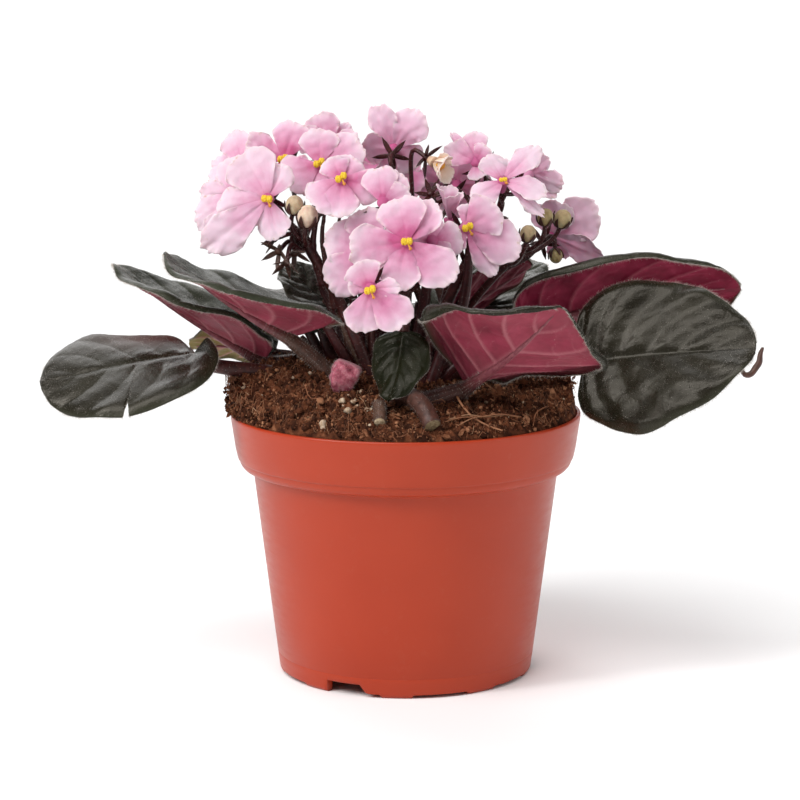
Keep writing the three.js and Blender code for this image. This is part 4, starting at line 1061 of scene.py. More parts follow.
def heap_rings():
    """The soil's body: a plug that fills the pot, its top the fine surface."""
    angle = np.linspace(0, 2 * math.pi, HEAP_COLUMNS, endpoint=False)
    shares = np.concatenate([np.linspace(1, 0.9, HEAP_EDGE_RINGS), np.linspace(0.892, 0.012, HEAP_RINGS)])
    floor = FLOOR_HEIGHT + FLOOR_THICKNESS + GAP
    sides = [(0.5, floor), (FOOT_RADIUS - 2.1 - WALL, floor), (FOOT_RADIUS - 0.3 - WALL, floor + 2.4),
             (SHOULDER_RADIUS - 1.8 - WALL, SHOULDER_HEIGHT), (COLLAR_RADIUS - 2.8, COLLAR_GROOVE - 2.4),
             (RIM_INNER_RADIUS - 0.7, POT_HEIGHT - 8), (RIM_RADIUS - LIP - 0.4, POT_HEIGHT - 2)]
    rings = [np.stack([r * np.cos(angle), r * np.sin(angle), 0 * angle + z], -1) for r, z in sides]
    low = POT_HEIGHT - 0.6
    for share in shares:
        r = share * soil_reach(angle)
        x, y = r * np.cos(angle), r * np.sin(angle)
        edge = smoothstep(1 - share, -0.012, 0.035)
        rings.append(np.stack([x, y, low + (soil_top(x, y) - low) * edge], -1))
    return np.array(rings)


def add_heap(parts):
    """The heap's closed surface."""
    grid = heap_rings()
    tone = 0.3 + 0.25 * ripple(grid, 6, 11) + 0.15 * ripple(grid, 2, 12)
    centre = np.array([[0, 0, grid[0, 0, 2]], [0, 0, soil_top(np.zeros(1), np.zeros(1))[0]]])
    rows, columns = grid.shape[:2]
    count = rows * columns
    k = np.arange(columns)
    after = (k + 1) % columns
    top_cap = np.stack([count - columns + k, count - columns + after, np.full(columns, count + 1)], -1)
    foot_cap = np.stack([after, k, np.full(columns, count)], -1)
    parts.add(np.concatenate([grid.reshape(-1, 3), centre]),
              [grid_faces(rows, columns, closed=True)[:, ::-1], top_cap, foot_cap],
              0, tone=np.concatenate([tone.ravel(), [0.3, 0.3]]).clip(0, 1))


def add_crumbs(parts, source):
    for amount, low, high, flat in CRUMBS:
        places = soil_places(amount, source, low)
        sizes = source.uniform(low, high, amount)
        places[:, 2] += sizes * source.uniform(-0.4, 0.4, amount)
        add_chips(parts, places, sizes, source.beta(1.8, 2.2, amount), 0, source, flat=flat)


def add_spill(parts, source):
    """Crumbs in and on the clump that hangs over the rim at the left."""
    spill = source.uniform(-0.7, 0.7, SPILLED_CRUMBS)
    r = soil_reach(math.pi + spill) - source.uniform(-0.7, 3.5, SPILLED_CRUMBS)
    places = np.stack([-r * np.cos(spill), -r * np.sin(spill), np.full(SPILLED_CRUMBS, POT_HEIGHT + 0.5)], -1)
    ground = soil_top(places[:, 0], places[:, 1])
    places[:, 2] += source.uniform(0, 1, SPILLED_CRUMBS) * np.maximum(ground - POT_HEIGHT, 0.5)
    sizes = source.uniform(0.25, 0.9, SPILLED_CRUMBS)
    add_chips(parts, places, sizes, source.beta(2, 2.4, SPILLED_CRUMBS), 0, source)


def add_perlite(parts, source):
    """Pale bits: some strewn, a patch of them by the stubs, and the larger ones."""
    strewn = soil_places(STREWN_PERLITE, source, 3)
    tried = soil_places(PATCH_TRIES, source, 3)
    patch = tried[np.hypot(tried[:, 0] - PATCH_MIDDLE[0], tried[:, 1] - PATCH_MIDDLE[1]) < PATCH_RADIUS]
    large = np.array([(x, y, soil_top(np.array(x), np.array(y))) for x, y in PERLITE])
    bits = np.concatenate([strewn, patch, large + [0, 0, 0.5]])
    bits[:, 2] += 0.4
    small_sizes = source.uniform(0.2, 0.75, len(bits) - len(large))
    sizes = np.concatenate([small_sizes, source.uniform(0.7, 1.4, len(large))])
    add_chips(parts, bits, sizes, source.uniform(0, 1, len(bits)), 2, source, 2, 0.24, (0.5, 1.3))


def add_soil_fibres(parts, source):
    for amount, short, long, thin, thick, lift in FIBRES:
        places = soil_places(amount, source, 2)
        lengths = source.uniform(short, long, amount)
        radii = source.uniform(thin, thick, amount)
        add_fibres(parts, places, lengths, radii, source.beta(1.4, 4.2, amount), source, lift, 1.2)
    left = math.pi + source.uniform(-0.6, 0.6, RIM_FIBRES)
    edge = soil_reach(left) - 1.0
    places = np.stack([edge * np.cos(left), edge * np.sin(left)], -1)
    lengths = source.uniform(2, 8, RIM_FIBRES)
    radii = source.uniform(0.06, 0.14, RIM_FIBRES)
    add_fibres(parts, places, lengths, radii, source.beta(2, 4, RIM_FIBRES), source, (0.3, 3.0), 2.5)


def add_threads(parts):
    for points, radius, tone in THREADS:
        route = [(x, y, soil_height(np.array(x), np.array(y)) + h) for x, y, h in points]
        path = curve_points(route, THREAD_STEPS)
        points, faces, _ = sweep(path, radius * np.linspace(1, 0.6, THREAD_STEPS), 7)
        parts.add(points, faces, 1, tone=tone)


def make_soil():
    source = draws("soil")
    parts = Parts()
    add_heap(parts)
    add_crumbs(parts, source)
    add_spill(parts, source)
    add_perlite(parts, source)
    add_soil_fibres(parts, source)
    add_threads(parts)
    soil = parts.make("soil_heap", [soil_paint(), fibre_paint(), perlite_paint()])
    hand_over(soil, "soil")


# ---- Leaves ----
def leaf_frame(leaf):
    heading, pitch, roll = np.radians([leaf["heading"], leaf["pitch"], leaf["roll"]])
    level_share = math.cos(pitch)
    along = np.array([math.cos(heading) * level_share, math.sin(heading) * level_share, math.sin(pitch)])
    level = np.array([-math.sin(heading), math.cos(heading), 0])
    up = np.cross(along, level)
    left = level * math.cos(roll) + up * math.sin(roll)
    return along, left, np.cross(along, left)


def blade_outline(leaf, turn, half):
    """The margin's place along and across the blade, turn from base to tip, and its angle round the blade."""
    angle = 0.25 + (math.pi - 0.35) * turn
    lobe = leaf["lobe"] * np.maximum(0, np.sin(2 * angle))
    margin_along = leaf["length"] * (1 - np.cos(angle)) / 2 - np.where(angle < math.pi / 2, lobe, 0)
    margin_across = leaf["width"] * np.sin(angle) * (1.04 + 0.24 * np.cos(angle))
    margin_across = margin_across * (1 - leaf.get("narrow", 0) * smoothstep(turn, 0.6, 1))
    for side, at, spread, grow in leaf.get("bumps", ()):
        margin_across = margin_across * (1 + grow * bell(turn - at, spread) * (half == side))
    return angle, margin_along, margin_across


def blade_section(leaf, turn, share, half, margin_across):
    """How far each point lies out from the midrib and above it: fold, cup, curl and the rolled margin."""
    left_half = half > 0
    fold = np.where(left_half, *leaf["fold"]) * (1 + (leaf["tip_fold"] - 1) * turn)
    cup = np.where(left_half, *leaf["cup"])
    curl = np.where(left_half, *leaf["curl"])
    roll = np.where(left_half, *leaf.get("roll_margin", (25, 25)))
    if "flat" in leaf:
        side, at, spread = leaf["flat"]
        roll = roll * (1 - 0.8 * bell(turn - at, spread) * (half == side))
    margin_across = margin_across * (1 + 0.07 * smoothstep(roll, 40, 140))
    roll_from = leaf.get("roll_from", 0.84) - leaf.get("roll_tip", 0) * smoothstep(turn, 0.55, 0.9)
    out = 0
    rise = 0
    for i in range(SLOPE_STEPS):
        at = (i + 0.5) / SLOPE_STEPS * share
        rolled = roll * smoothstep(at, roll_from, roll_from + 0.13)
        slope = np.radians(fold + cup * at + curl * smoothstep(at, 0.72, 1) - rolled)
        out = out + np.cos(slope) * margin_across * share / SLOPE_STEPS
        rise = rise + np.sin(slope) * margin_across * share / SLOPE_STEPS
    return out, rise


def leaf_sheet(leaf, turn, across):
    """The blade's middle surface. across runs from -1 at the right margin to 1 at the left one."""
    along, left, top = leaf_frame(leaf)
    left_half = across >= 0
    half = np.where(left_half, 1.0, -1.0)
    share = np.abs(across)
    if "tear" in leaf:
        side, at, wide, deep = leaf["tear"]
        share = share * (1 - deep * np.maximum(0, 1 - np.abs(turn - at) / wide) * (half == side))
    angle, margin_along, margin_across = blade_outline(leaf, turn, half)
    out, rise = blade_section(leaf, turn, share, half, margin_across)
    rise = rise + MARGIN_WAVE * share**2 * np.sin(7 * angle + np.where(left_half, 0, 2))
    ear = np.where(left_half, *leaf.get("ear", (0, 0)))
    ear = ear * smoothstep(turn, 0.34, 0.03) * smoothstep(share, 0.2, 1)
    rise = rise + ear
    out = out - 0.3 * ear
    reach = leaf["length"] * turn**1.5 * (1 - share) + margin_along * share - 0.3 * ear
    droop = np.radians(leaf["bend"]) * reach / leaf["length"]
    safe = np.where(np.abs(droop) < 1e-4, 1e-4, droop)
    bent = np.sin(safe) / safe * reach
    sunk = (1 - np.cos(safe)) / safe * reach
    twist = np.radians(leaf["twist"]) * turn
    sideways = left * np.cos(twist)[..., None] + top * np.sin(twist)[..., None]
    upward = top * np.cos(twist)[..., None] - left * np.sin(twist)[..., None]
    return (np.array(leaf["base"], float) + along * (bent + np.sin(droop) * rise)[..., None]
            + sideways * (half * out)[..., None] + upward * (np.cos(droop) * rise - sunk)[..., None])


def leaf_relief(leaf, turn, across):
    """Side veins, midrib and quilting of a blade, each from 0 to 1."""
    share = np.abs(across)
    side = np.where(across >= 0, 0.0, 0.37)
    phase = VEIN_PAIRS * (turn - 0.2 * share**1.7) + side * share * 0.3
    rank = np.round(phase)
    from_vein = np.abs(phase - rank) / VEIN_PAIRS * leaf["length"] * 1.1
    inside = (rank >= 1) & (rank < VEIN_PAIRS)
    side_vein = bell(from_vein, 0.75 - 0.4 * share) * inside * smoothstep(share, 1.0, 0.8)
    cross = share * 4.2 + 0.22 * np.sin(6.3 * phase + 5 * side) + 0.37 * rank
    from_cross = np.abs(cross - np.round(cross)) / 4.2 * leaf["width"]
    small_vein = bell(from_cross, 0.32) * smoothstep(share, 0.12, 0.3) * smoothstep(share, 1.0, 0.9)
    midrib = bell(share * leaf["width"], 1.3)
    loop = bell((share - 0.83 - 0.06 * np.cos(2 * math.pi * phase)) * leaf["width"], 0.45)
    fine = 0.28 * leaf.get("quilt", 1) ** 2
    puff = 1 - fine + fine * np.abs(np.sin(math.pi * cross))
    quilt = np.abs(np.sin(math.pi * phase)) ** leaf.get("crease", 0.7) * puff
    calm = smoothstep(turn, 0.97, 0.76) * smoothstep(turn, 0.0, 0.08)
    quilt = quilt * smoothstep(share, 0.0, 0.16) * smoothstep(share, 1.02, 0.82) * calm
    vein = (side_vein + 0.35 * small_vein) * (0.15 + 0.85 * calm) + 0.3 * loop * calm
    return np.clip(vein, 0, 1), midrib * smoothstep(turn, 1.0, 0.6), quilt


def foot_points(root):
    """Where a stem starts: a point in the soil and one just over it."""
    level = float(soil_height(np.array(float(root[0])), np.array(float(root[1]))))
    return [np.array([*root, level - STEM_DEPTH]), np.array([*root, level + 1])]


def petiole_route(leaf):
    along, _, top = leaf_frame(leaf)
    foot = foot_points(leaf.get("enter", leaf["root"]))
    base = np.array(leaf["base"], float) - top * PETIOLE_RADIUS * 0.7
    if "way" in leaf:
        return [*foot, *(np.array(point, float) for point in leaf["way"]), base]
    before = base - along * leaf["length"] * 0.16
    shoulder = foot[1] + (before - foot[1]) * 0.2
    for point in (shoulder, before):
        ground = float(soil_height(point[0], point[1]))
        point[2] = max(point[2], ground + PETIOLE_RADIUS + PETIOLE_LIFT)
    return [*foot, shoulder, before, base]


def stain_of(leaf, turn, across):
    """A brown patch along a stretch of one margin."""
    if "stain" not in leaf:
        return 0 * turn
    side, at, spread = leaf["stain"]
    return bell(turn - at, spread) * smoothstep(across * side, 0.15, 0.65)


def leaf_grid(leaf, small):
    """The blade's grid: turn from base to tip and across from margin to margin, finer beside a tear."""
    turn = np.linspace(0, 1, int(LEAF_ROWS * small))
    if "tear" in leaf:
        _, at, wide, _ = leaf["tear"]
        turn = np.unique(np.concatenate([turn, at + wide * np.linspace(-1.05, 1.05, 9)]))
    columns = int(LEAF_COLUMNS * small) // 2 * 2 + 1
    turn, across = np.meshgrid(turn, np.linspace(-1, 1, columns), indexing="ij")
    return turn, np.sign(across) * np.abs(across) ** 0.9


def add_blade(parts, leaf, turn, across):
    """The blade. Gives its middle surface, normals and half thickness, and how strong its veins are."""
    middle = leaf_sheet(leaf, turn, across)
    vein, midrib, quilt = leaf_relief(leaf, turn, across)
    share = np.abs(across)
    normals = grid_normals(middle)
    depth = leaf.get("quilt", 1)
    veins = leaf.get("veins", 1)
    lump = QUILT * depth * quilt + 0.45 * ripple(middle, 13, 21) * share + 0.05 * ripple(middle, 3.5, 22)
    middle = middle + normals * (lump - 0.35 * midrib)[..., None]
    normals = grid_normals(middle)
    thick = LEAF_THICKNESS * (0.5 - 0.28 * share**6)
    top = middle + normals * (thick - 0.22 * min(depth, veins) * vein)[..., None]
    under = middle - normals * (thick + 0.4 * vein * (1 - 0.5 * share))[..., None]
    edge = share**9 + smoothstep(turn, 0.985, 1.0) * 0.5
    seen = np.clip(vein + midrib, 0, 1)
    add_shell(parts, top, under, (0, 1), vein=seen, edge=np.clip(edge, 0, 1), faint=veins,
              fuzz=leaf.get("fuzz", 0.5), stain=stain_of(leaf, turn, across), green=leaf.get("green", 0.0))
    return middle, normals, thick, seen


def add_petiole(parts, leaf, turn, middle, normals, small):
    """The petiole up to the blade, and the rib that it becomes under it. Gives its points and normals."""
    turns = np.linspace(0.0, 0.95, RIB_STEPS)
    nearest = np.abs(turn[:, :1] - turns[None]).argmin(0)
    centre = turn.shape[1] // 2
    girth = PETIOLE_RADIUS * PETIOLE_FULL * small**0.5 * leaf.get("thick_stalk", 1)
    rib_girth = 0.3 + (girth * 0.8 - 0.3) * (1 - turns) ** 1.6
    rib = middle[nearest, centre] - normals[nearest, centre] * (rib_girth * 0.75 + 0.1)[:, None]
    route = petiole_route(leaf)
    route[-1] = rib[0]
    free = PETIOLE_STEPS - 1
    path = np.concatenate([curve_points(route, PETIOLE_STEPS)[:-1], rib])
    radii = np.concatenate([np.linspace(girth, rib_girth[0], free), rib_girth])
    points, faces, out = sweep(path, radii, PETIOLE_SIDES)
    blend = np.repeat(np.concatenate([np.zeros(free), smoothstep(turns, 0.05, 0.5)]), PETIOLE_SIDES)
    parts.add(points, faces, 2, tone=leaf.get("stalk", 0.12), rib=np.concatenate([blend, [0, 1]]))
    return points, out


def make_leaf(leaf, paints):
    source = draws(leaf["name"])
    small = min(1.0, leaf["length"] / FULL_LEAF)
    turn, across = leaf_grid(leaf, small)
    parts = Parts()
    blade = add_blade(parts, leaf, turn, across)
    stalk = add_petiole(parts, leaf, turn, *blade[:2], small)
    if "sliver" in leaf:
        add_sliver(parts, leaf["sliver"])
    add_leaf_hairs(parts, leaf, source, blade, stalk)
    skins = [paints[key] for key in (leaf.get("skin", "leaf_top"), "leaf_under", "stalk", "hair")]
    piece = parts.make(leaf["name"] + "_blade", skins)
    hand_over(piece, leaf["name"])


def add_sliver(parts, route):
    """A dry brown strip torn from the margin, that curls up beside it."""
    path = curve_points(route, SLIVER_STEPS)
    along, across = strip_grid(SLIVER_STEPS, 7)
    side = np.cross(unit(np.gradient(path, axis=0)), [0, 1.0, 0])
    half = 0.2 + 0.8 * np.sin(math.pi * along) ** 0.7 + 0.2 * np.sin(17 * along) * across
    cupped = np.array([0, 0.8, 0]) * (across**2)[..., None]
    grid = path[:, None] + side[:, None] * (half * across)[..., None] + cupped
    add_strip(parts, grid, 0.2, 2, 0.35 + 0.2 * across)


def add_leaf_hairs(parts, leaf, source, blade, stalk):
    """Hairs along the margins, on the top, on the veins of the underside and on the stalk."""
    middle, normals, thick, seen = blade
    rows, columns = thick.shape
    size = leaf["length"] / FULL_LEAF
    fuzz = leaf.get("fuzz", 0.5)
    out = unit(middle[:, [0, -1]] - middle[:, [3, -4]])
    for side, column in enumerate((0, columns - 1)):
        pick = source.integers(0, rows - 1, int(MARGIN_HAIRS * size))
        mixed = source.uniform(0, 1, len(pick))[:, None]
        roots = middle[pick, column] * (1 - mixed) + middle[pick + 1, column] * mixed
        ways = out[pick, side] + normals[pick, column] * source.uniform(-0.5, 0.9, len(pick))[:, None]
        add_hairs(parts, roots, ways, 1.4 if size > SMALL_LEAF else 0.6, 0.036, 3, source)
    top_hairs = TOP_HAIRS if size > SMALL_LEAF else FEW_TOP_HAIRS
    for sign, amount, off_veins in ((1, top_hairs, 1), (-1, UNDER_HAIRS * (0.4 + fuzz), 0)):
        i = source.integers(0, rows, int(amount * size * size))
        j = source.integers(0, columns, len(i))
        kept = source.uniform(0.05, 1, len(i)) < np.maximum(seen[i, j], off_veins)
        i, j = i[kept], j[kept]
        face = sign * normals[i, j]
        roots = middle[i, j] + face * thick[i, j][:, None]
        add_hairs(parts, roots, face, 0.65, 0.022, 3, source, 0.5)
    hairy = HAIRY_RINGS * PETIOLE_SIDES
    stalk_hairs = int((250 + 1100 * fuzz) * size + 100)
    add_limb_hairs(parts, stalk[0][:hairy], stalk[1][:hairy], stalk_hairs, 1.1, 0.03, 3, source)


# ---- Blooms ----
def face_frame(face):
    heading, rise = np.radians(face)
    out = np.array([math.cos(heading) * math.cos(rise), math.sin(heading) * math.cos(rise), math.sin(rise)])
    right = unit(np.cross([0, 0, 1.0], out))
    return right, np.cross(out, right), out


def petal_full(reach):
    """The size that a petal's width and ruffles go by."""
    return 0.6 * reach + 0.4 * PETAL_FULL


def petal_sheet(bloom, k, along, across):
    """A petal's middle surface, from the throat (along 0) to its end (1), and how near the rim it is."""
    right, up, out = face_frame(bloom["face"])
    degrees, reach, lean, wide = bloom["petals"][k]
    lean = math.radians(lean)
    source = draws(bloom["name"] + str(k))
    bend, twist, phase, dent = source.uniform((-0.5, -0.25, 0, 0), (0.9, 0.25, 6.3, 0.05))
    full = petal_full(reach)
    half = PETAL_WIDTH * wide * full * np.sin(math.pi / 2 * np.maximum(along, 0.06)) ** 0.82
    rim = smoothstep(np.maximum(along, np.abs(across) * smoothstep(along, 0.15, 0.5)), 0.55, 1.0) ** 1.6
    around = np.arctan2(across, 1.5 * along - 0.45)
    layer = PETAL_LAYERS[k] * np.minimum(1, 2 * along)
    wave = (0.025 * np.sin(3.1 * around + phase) + 0.02 * np.sin(7 * around + 2.3 * phase) * rim
            + 0.014 * np.sin(19 * around + 5 * phase) * rim**3)
    lift = (reach * along * math.tan(lean) * (1 - 0.3 * along) - 0.7 * across**2 * along + layer
            - 0.12 * bend * full * along**3 + half * across * twist * along + full * rim * wave
            - 0.022 * full * bell(across, 0.2) * along * (1 - along) * 4)
    end = PETAL_FULLEST + (1 - PETAL_FULLEST) * np.sqrt(np.maximum(1 - across**2, 0))
    rounded = 1 - (1 - end) * along**1.3 - dent * bell(across, 0.22) * along**6
    crimp = (0.026 * np.sin(4 * around + 1.9 * phase) + 0.014 * np.sin(15 * around + phase)
             + 0.01 * np.sin(31 * around + 3 * phase) * rim)
    ruffled = rounded + rim * crimp * smoothstep(np.abs(across), 1.0, 0.8)
    spoke = reach * along * math.cos(lean * 0.8) * ruffled
    cosine, sine = math.cos(math.radians(degrees)), math.sin(math.radians(degrees))
    sheet = (np.array(bloom["at"], float)
             + right * (cosine * spoke - sine * half * across)[..., None]
             + up * (sine * spoke + cosine * half * across)[..., None]
             + out * lift[..., None])
    return sheet, rim


def add_petal(parts, bloom, k, along, across):
    middle, rim = petal_sheet(bloom, k, along, across)
    vein = np.abs(np.cos(across * 5.5 * math.pi / 2 + 0.6 * k)) ** 14 * smoothstep(along, 0.95, 0.4) * 0.6
    vein = vein + bell(across, 0.09) * smoothstep(along, 0.8, 0.1) * 0.7
    normals = grid_normals(middle)
    middle = middle + normals * (0.16 * ripple(middle, 4, 31 + k))[..., None]
    normals = grid_normals(middle)
    thick = PETAL_THICKNESS * (0.5 - 0.2 * np.maximum(np.abs(across), along) ** 5)
    tone = along - 0.1 * (1 - np.abs(across)) * smoothstep(along, 0.95, 0.3) + bloom.get("pale", 0)
    add_shell(parts, middle + normals * thick[..., None], middle - normals * thick[..., None], (0, 1),
              along=tone, vein=np.clip(vein, 0, 1), rim=rim**4)


def add_tube(parts, bloom):
    """The short tube behind the petals."""
    out = face_frame(bloom["face"])[2]
    at = np.array(bloom["at"], float)
    mouth = at + out * 0.7
    length = bloom.get("tube", TUBE_LENGTH)
    path = [mouth, mouth - out * 0.16 * length, mouth - out * 0.44 * length, at - out * length]
    points, faces, _ = sweep(curve_points(path, 10), TUBE_RADIUS * np.linspace(0.95, 0.62, 10), 16)
    parts.add(points, faces, 0, along=0.0)


def make_bloom(bloom, paints):
    parts = Parts()
    spread = np.sin(np.linspace(-1, 1, PETAL_COLUMNS) * PETAL_SWEEP) / math.sin(PETAL_SWEEP)
    along, across = np.meshgrid(np.linspace(0.05, 1, PETAL_ROWS), spread * 0.985, indexing="ij")
    for k in range(len(bloom["petals"])):
        add_petal(parts, bloom, k, along, across)
    add_tube(parts, bloom)
    slot = {"shaded": "petal_shaded", "nodding": "petal_pale"}.get(bloom["name"], "petal")
    under = "petal_under" if slot == "petal" else slot
    over = "petal_under" if bloom["name"] == "right_side" else slot
    piece = parts.make("petals_" + bloom["name"], [paints[over], paints[under]])
    hand_over(piece, None if bloom["name"] in SCENE_ONLY else "bloom_" + bloom["name"])


def lobe_points(middle, ways, radii, groove, source):
    """A smooth lobe with a groove along its length."""
    ball, faces = base_ball(3)
    pinch = 1 - groove * bell(ball[:, 0], 0.22) * (ball[:, 2] > -0.3)
    shaped = ball * np.array(radii) * pinch[:, None] * (1 + source.normal(scale=0.01, size=(len(ball), 1)))
    return middle + shaped @ np.array(ways), faces


def make_anthers(bloom, paints):
    """The pair of anthers and, between them, the style with its stigma."""
    source = draws("anthers_" + bloom["name"])
    tilt = source.uniform(-0.1, 0.6)
    right, up, out = face_frame(bloom["face"])
    at = np.array(bloom["at"], float)
    parts = Parts()
    rise = SUNK_ANTHERS.get(bloom["name"], ANTHER_RISE)
    size = 1.0 if rise > 1 else SUNK_SIZE
    for side in (-1, 1):
        middle = at + right * side * 0.85 * size + up * tilt * side + out * rise
        points, faces = lobe_points(middle, (right, up, out), ANTHER_LOBE * size, 0.3, source)
        parts.add(points, [faces], 0, tone=0.7 if bloom["name"] == "nodding" else 0.0)
    tip = at + (right * 1.2 - up * 2.4) * size + out * (rise + 0.5)
    path = curve_points([at + out * (rise - 1.6), at - up * 0.9 + right * 0.5 + out * (rise - 0.2), tip], 12)
    points, faces, _ = sweep(path, np.linspace(0.4, 0.3, 12), 8)
    parts.add(points, faces, 0, tone=0.75)
    points, faces = lobe_points(tip, (right, up, out), STIGMA_LOBE, 0.0, source)
    parts.add(points, [faces], 0, tone=1.0)
    piece = parts.make("anther_pair_" + bloom["name"], [paints["anther"]])
    hand_over(piece, None if bloom["name"] == "nodding" else "anthers_" + bloom["name"])


# ---- Flower stems ----
def add_sepal(parts, root, way, out, length, tone, curve):
    """A narrow pointed sepal: way is where it points, out is the side that its back faces."""
    along, across = strip_grid(SEPAL_ROWS, SEPAL_COLUMNS)
    side = unit(np.cross(way, out))
    half = SEPAL_WIDTH * (np.sin(math.pi * np.minimum(along * 0.78 + 0.2, 1)) ** 0.8) * (1 - along**6)
    bow = curve * length * along**2
    grid = (root + way * (length * along)[..., None] + side * (half * across)[..., None]
            + out * (bow - 0.35 * SEPAL_WIDTH * (1 - across**2) * (1 - along))[..., None])
    return grid, add_strip(parts, grid, SEPAL_THICKNESS / 2, 0, tone)


def add_calyx(parts, at, frame_of, length, source, tone=0.0, curve=0.12, openness=1.0):
    """Five hairy sepals round the end of a pedicel."""
    right, up, out = frame_of
    base = at - out * 1.1
    for k in range(5):
        turn = math.radians(72 * k + 54 + source.uniform(-9, 9))
        radial = right * math.cos(turn) + up * math.sin(turn)
        way = unit(radial * openness + out * (0.14 + 1.0 - openness))
        reach = length * source.uniform(0.86, 1.04)
        grid, normals = add_sepal(parts, base + radial * 0.35, way, out, reach, tone, curve)
        i = source.integers(0, SEPAL_ROWS, SEPAL_HAIRS)
        j = source.integers(0, SEPAL_COLUMNS, SEPAL_HAIRS)
        ways = normals[i, j] * source.choice([-1, 1], SEPAL_HAIRS)[:, None]
        add_hairs(parts, grid[i, j], ways, 0.8, 0.03, 1, source, 0.6)
    points, faces, _ = sweep([base - out * 0.9, base, base + out * 0.8, base + out * 1.2],
                             [PEDICEL_RADIUS, 1.35, 1.25, 0.8], 10)
    parts.add(points, faces, 0, tone=tone)


def add_stalk(parts, path, radius, source, tone, sides, hairs):
    points, faces, out = sweep(path, radius, sides)
    parts.add(points, faces, 0, tone=tone)
    add_limb_hairs(parts, points, out, hairs, 0.95, 0.032, 1, source)


def bud_out(bud):
    """The way that a bud points."""
    return unit(np.array([0.3, -0.4, math.tan(math.radians(bud["rise"]))]))


def add_bud(parts, bud, source):
    """A closed bud with the seams of its petals, held by five short sepals."""
    out = bud_out(bud)
    right = unit(np.cross([0, 1.0, 0.2], out))
    up = np.cross(out, right)
    ball, faces = base_ball(4)
    r = bud["radius"]
    angle = np.arctan2(ball[:, 1], ball[:, 0])
    seams = 1 - 0.07 * np.abs(np.cos(2.5 * angle + 1.5 * ball[:, 2])) ** 9 * (ball[:, 2] > -0.5)
    shaped = ball * [1, 1, 1.12] * (r * seams)[:, None]
    parts.add(np.array(bud["at"], float) + shaped @ np.array([right, up, out]), [faces], 2, tone=bud["ripe"])
    along, across = strip_grid(14, 7)
    reach = source.uniform(1.5, 1.9, 5)
    for k in range(5):
        turn = math.radians(72 * k + 20)
        radial = right * math.cos(turn) + up * math.sin(turn)
        side = unit(np.cross(out, radial))
        risen = 0.15 + reach[k] * along
        half = 0.3 * r * np.sin(math.pi * np.minimum(along * 0.75 + 0.25, 1)) ** 0.8
        girth = r * (1.07 + 0.16 * along**3)
        grid = (np.array(bud["at"], float) + radial * (np.sin(risen) * girth)[..., None]
                - out * (np.cos(risen) * girth * 1.1)[..., None] + side * (half * across)[..., None])
        add_strip(parts, grid, SEPAL_THICKNESS / 2, 0, 0.25)


def make_truss(truss, paints):
    """A peduncle that forks into the pedicels of its blooms, buds and spent calyces."""
    source = draws("truss_" + truss["name"])
    parts = Parts()
    points = [np.array(p, float) for p in truss["points"]]
    fork = points[-1]
    route = curve_points([*foot_points(truss["root"]), *points], PEDUNCLE_STEPS)
    girth = truss.get("radius", PEDUNCLE_RADIUS)
    add_stalk(parts, route, np.linspace(girth, girth * 0.8, PEDUNCLE_STEPS), source, 0.05, 14, 420)

    def pedicel(joined, end, out):
        before = end - out * 7
        start = fork + (points[-2] - fork) * 0.06 * joined
        middle = (start + before) / 2 - [0, 0, 1.5]
        path = curve_points([start, middle, before, end], PEDICEL_STEPS)
        radii = np.linspace(PEDICEL_RADIUS, PEDICEL_RADIUS * 0.9, PEDICEL_STEPS)
        add_stalk(parts, path, radii, source, 0.0, 10, 130)

    joined = 0
    for bloom in (b for b in BLOOMS if b["truss"] == truss["name"]):
        frame_of = face_frame(bloom["face"])
        at = np.array(bloom["at"], float) - frame_of[2] * (bloom.get("tube", TUBE_LENGTH) + GAP)
        pedicel(joined, at, frame_of[2])
        add_calyx(parts, at, frame_of, SEPAL_LENGTH, source)
        joined += 2
    for bud in (b for b in BUDS if b["truss"] == truss["name"]):
        pedicel(joined, np.array(bud["at"], float), bud_out(bud))
        add_bud(parts, bud, source)
        joined += 2
    for calyx in (c for c in SPENT if c["truss"] == truss["name"]):
        frame_of = face_frame(calyx["face"])
        at = np.array(calyx["at"], float)
        pedicel(joined, at - frame_of[2] * 1.5, frame_of[2])
        add_calyx(parts, at, frame_of, calyx["length"], source, calyx["tone"], 0.1, calyx["open"])
        joined += 1
    piece = parts.make("stalks_" + truss["name"], [paints["stalk"], paints["hair"], paints["bud"]])
    hand_over(piece, "flower_stem_" + truss["name"])


# ---- Crown and stubs ----
def inner_stems(source):
    """Irregular thin stems that fill the crown: points [x, y, z], radius and tone, as in CROWN."""
    stems = []
    for x in np.linspace(-INNER_REACH, INNER_REACH, INNER_STEMS):
        lean, back, rise, girth, tone = source.uniform(*INNER_RANGE)
        top = (1.25 * x + lean, back + 3, rise - 0.4 * abs(x))
        foot = (0.8 * x, back - 2, 99)
        knee = (1.1 * x - 0.3 * lean, back - 1, 117)
        stems.append(([foot, knee, top], girth, tone))
    return stems


def make_crown(paints):
    source = draws("crown")
    parts = Parts()
    taper = np.linspace(1.15, 0.4, CROWN_STEPS) ** 0.7
    for points, radius, tone in CROWN + inner_stems(source):
        points, faces, out = sweep(curve_points(points, CROWN_STEPS), radius * taper, 12)
        points = points + out * (0.1 * ripple(points, 3, 61))[:, None]
        parts.add(points, faces, 0, tone=tone)
        add_limb_hairs(parts, points, out, CROWN_HAIRS, 0.9, 0.025, 1, source)
    crown = parts.make("crown_petioles", [paints["stalk"], paints["hair"]])
    hand_over(crown, None)


def stub_route(stub):
    """The stub's smooth route, from in the soil under its first point."""
    route = [np.array(p, float) for p in stub["points"]]
    route[0][2] = float(soil_height(route[0][0], route[0][1])) - STEM_DEPTH
    return curve_points(route, STUB_STEPS)


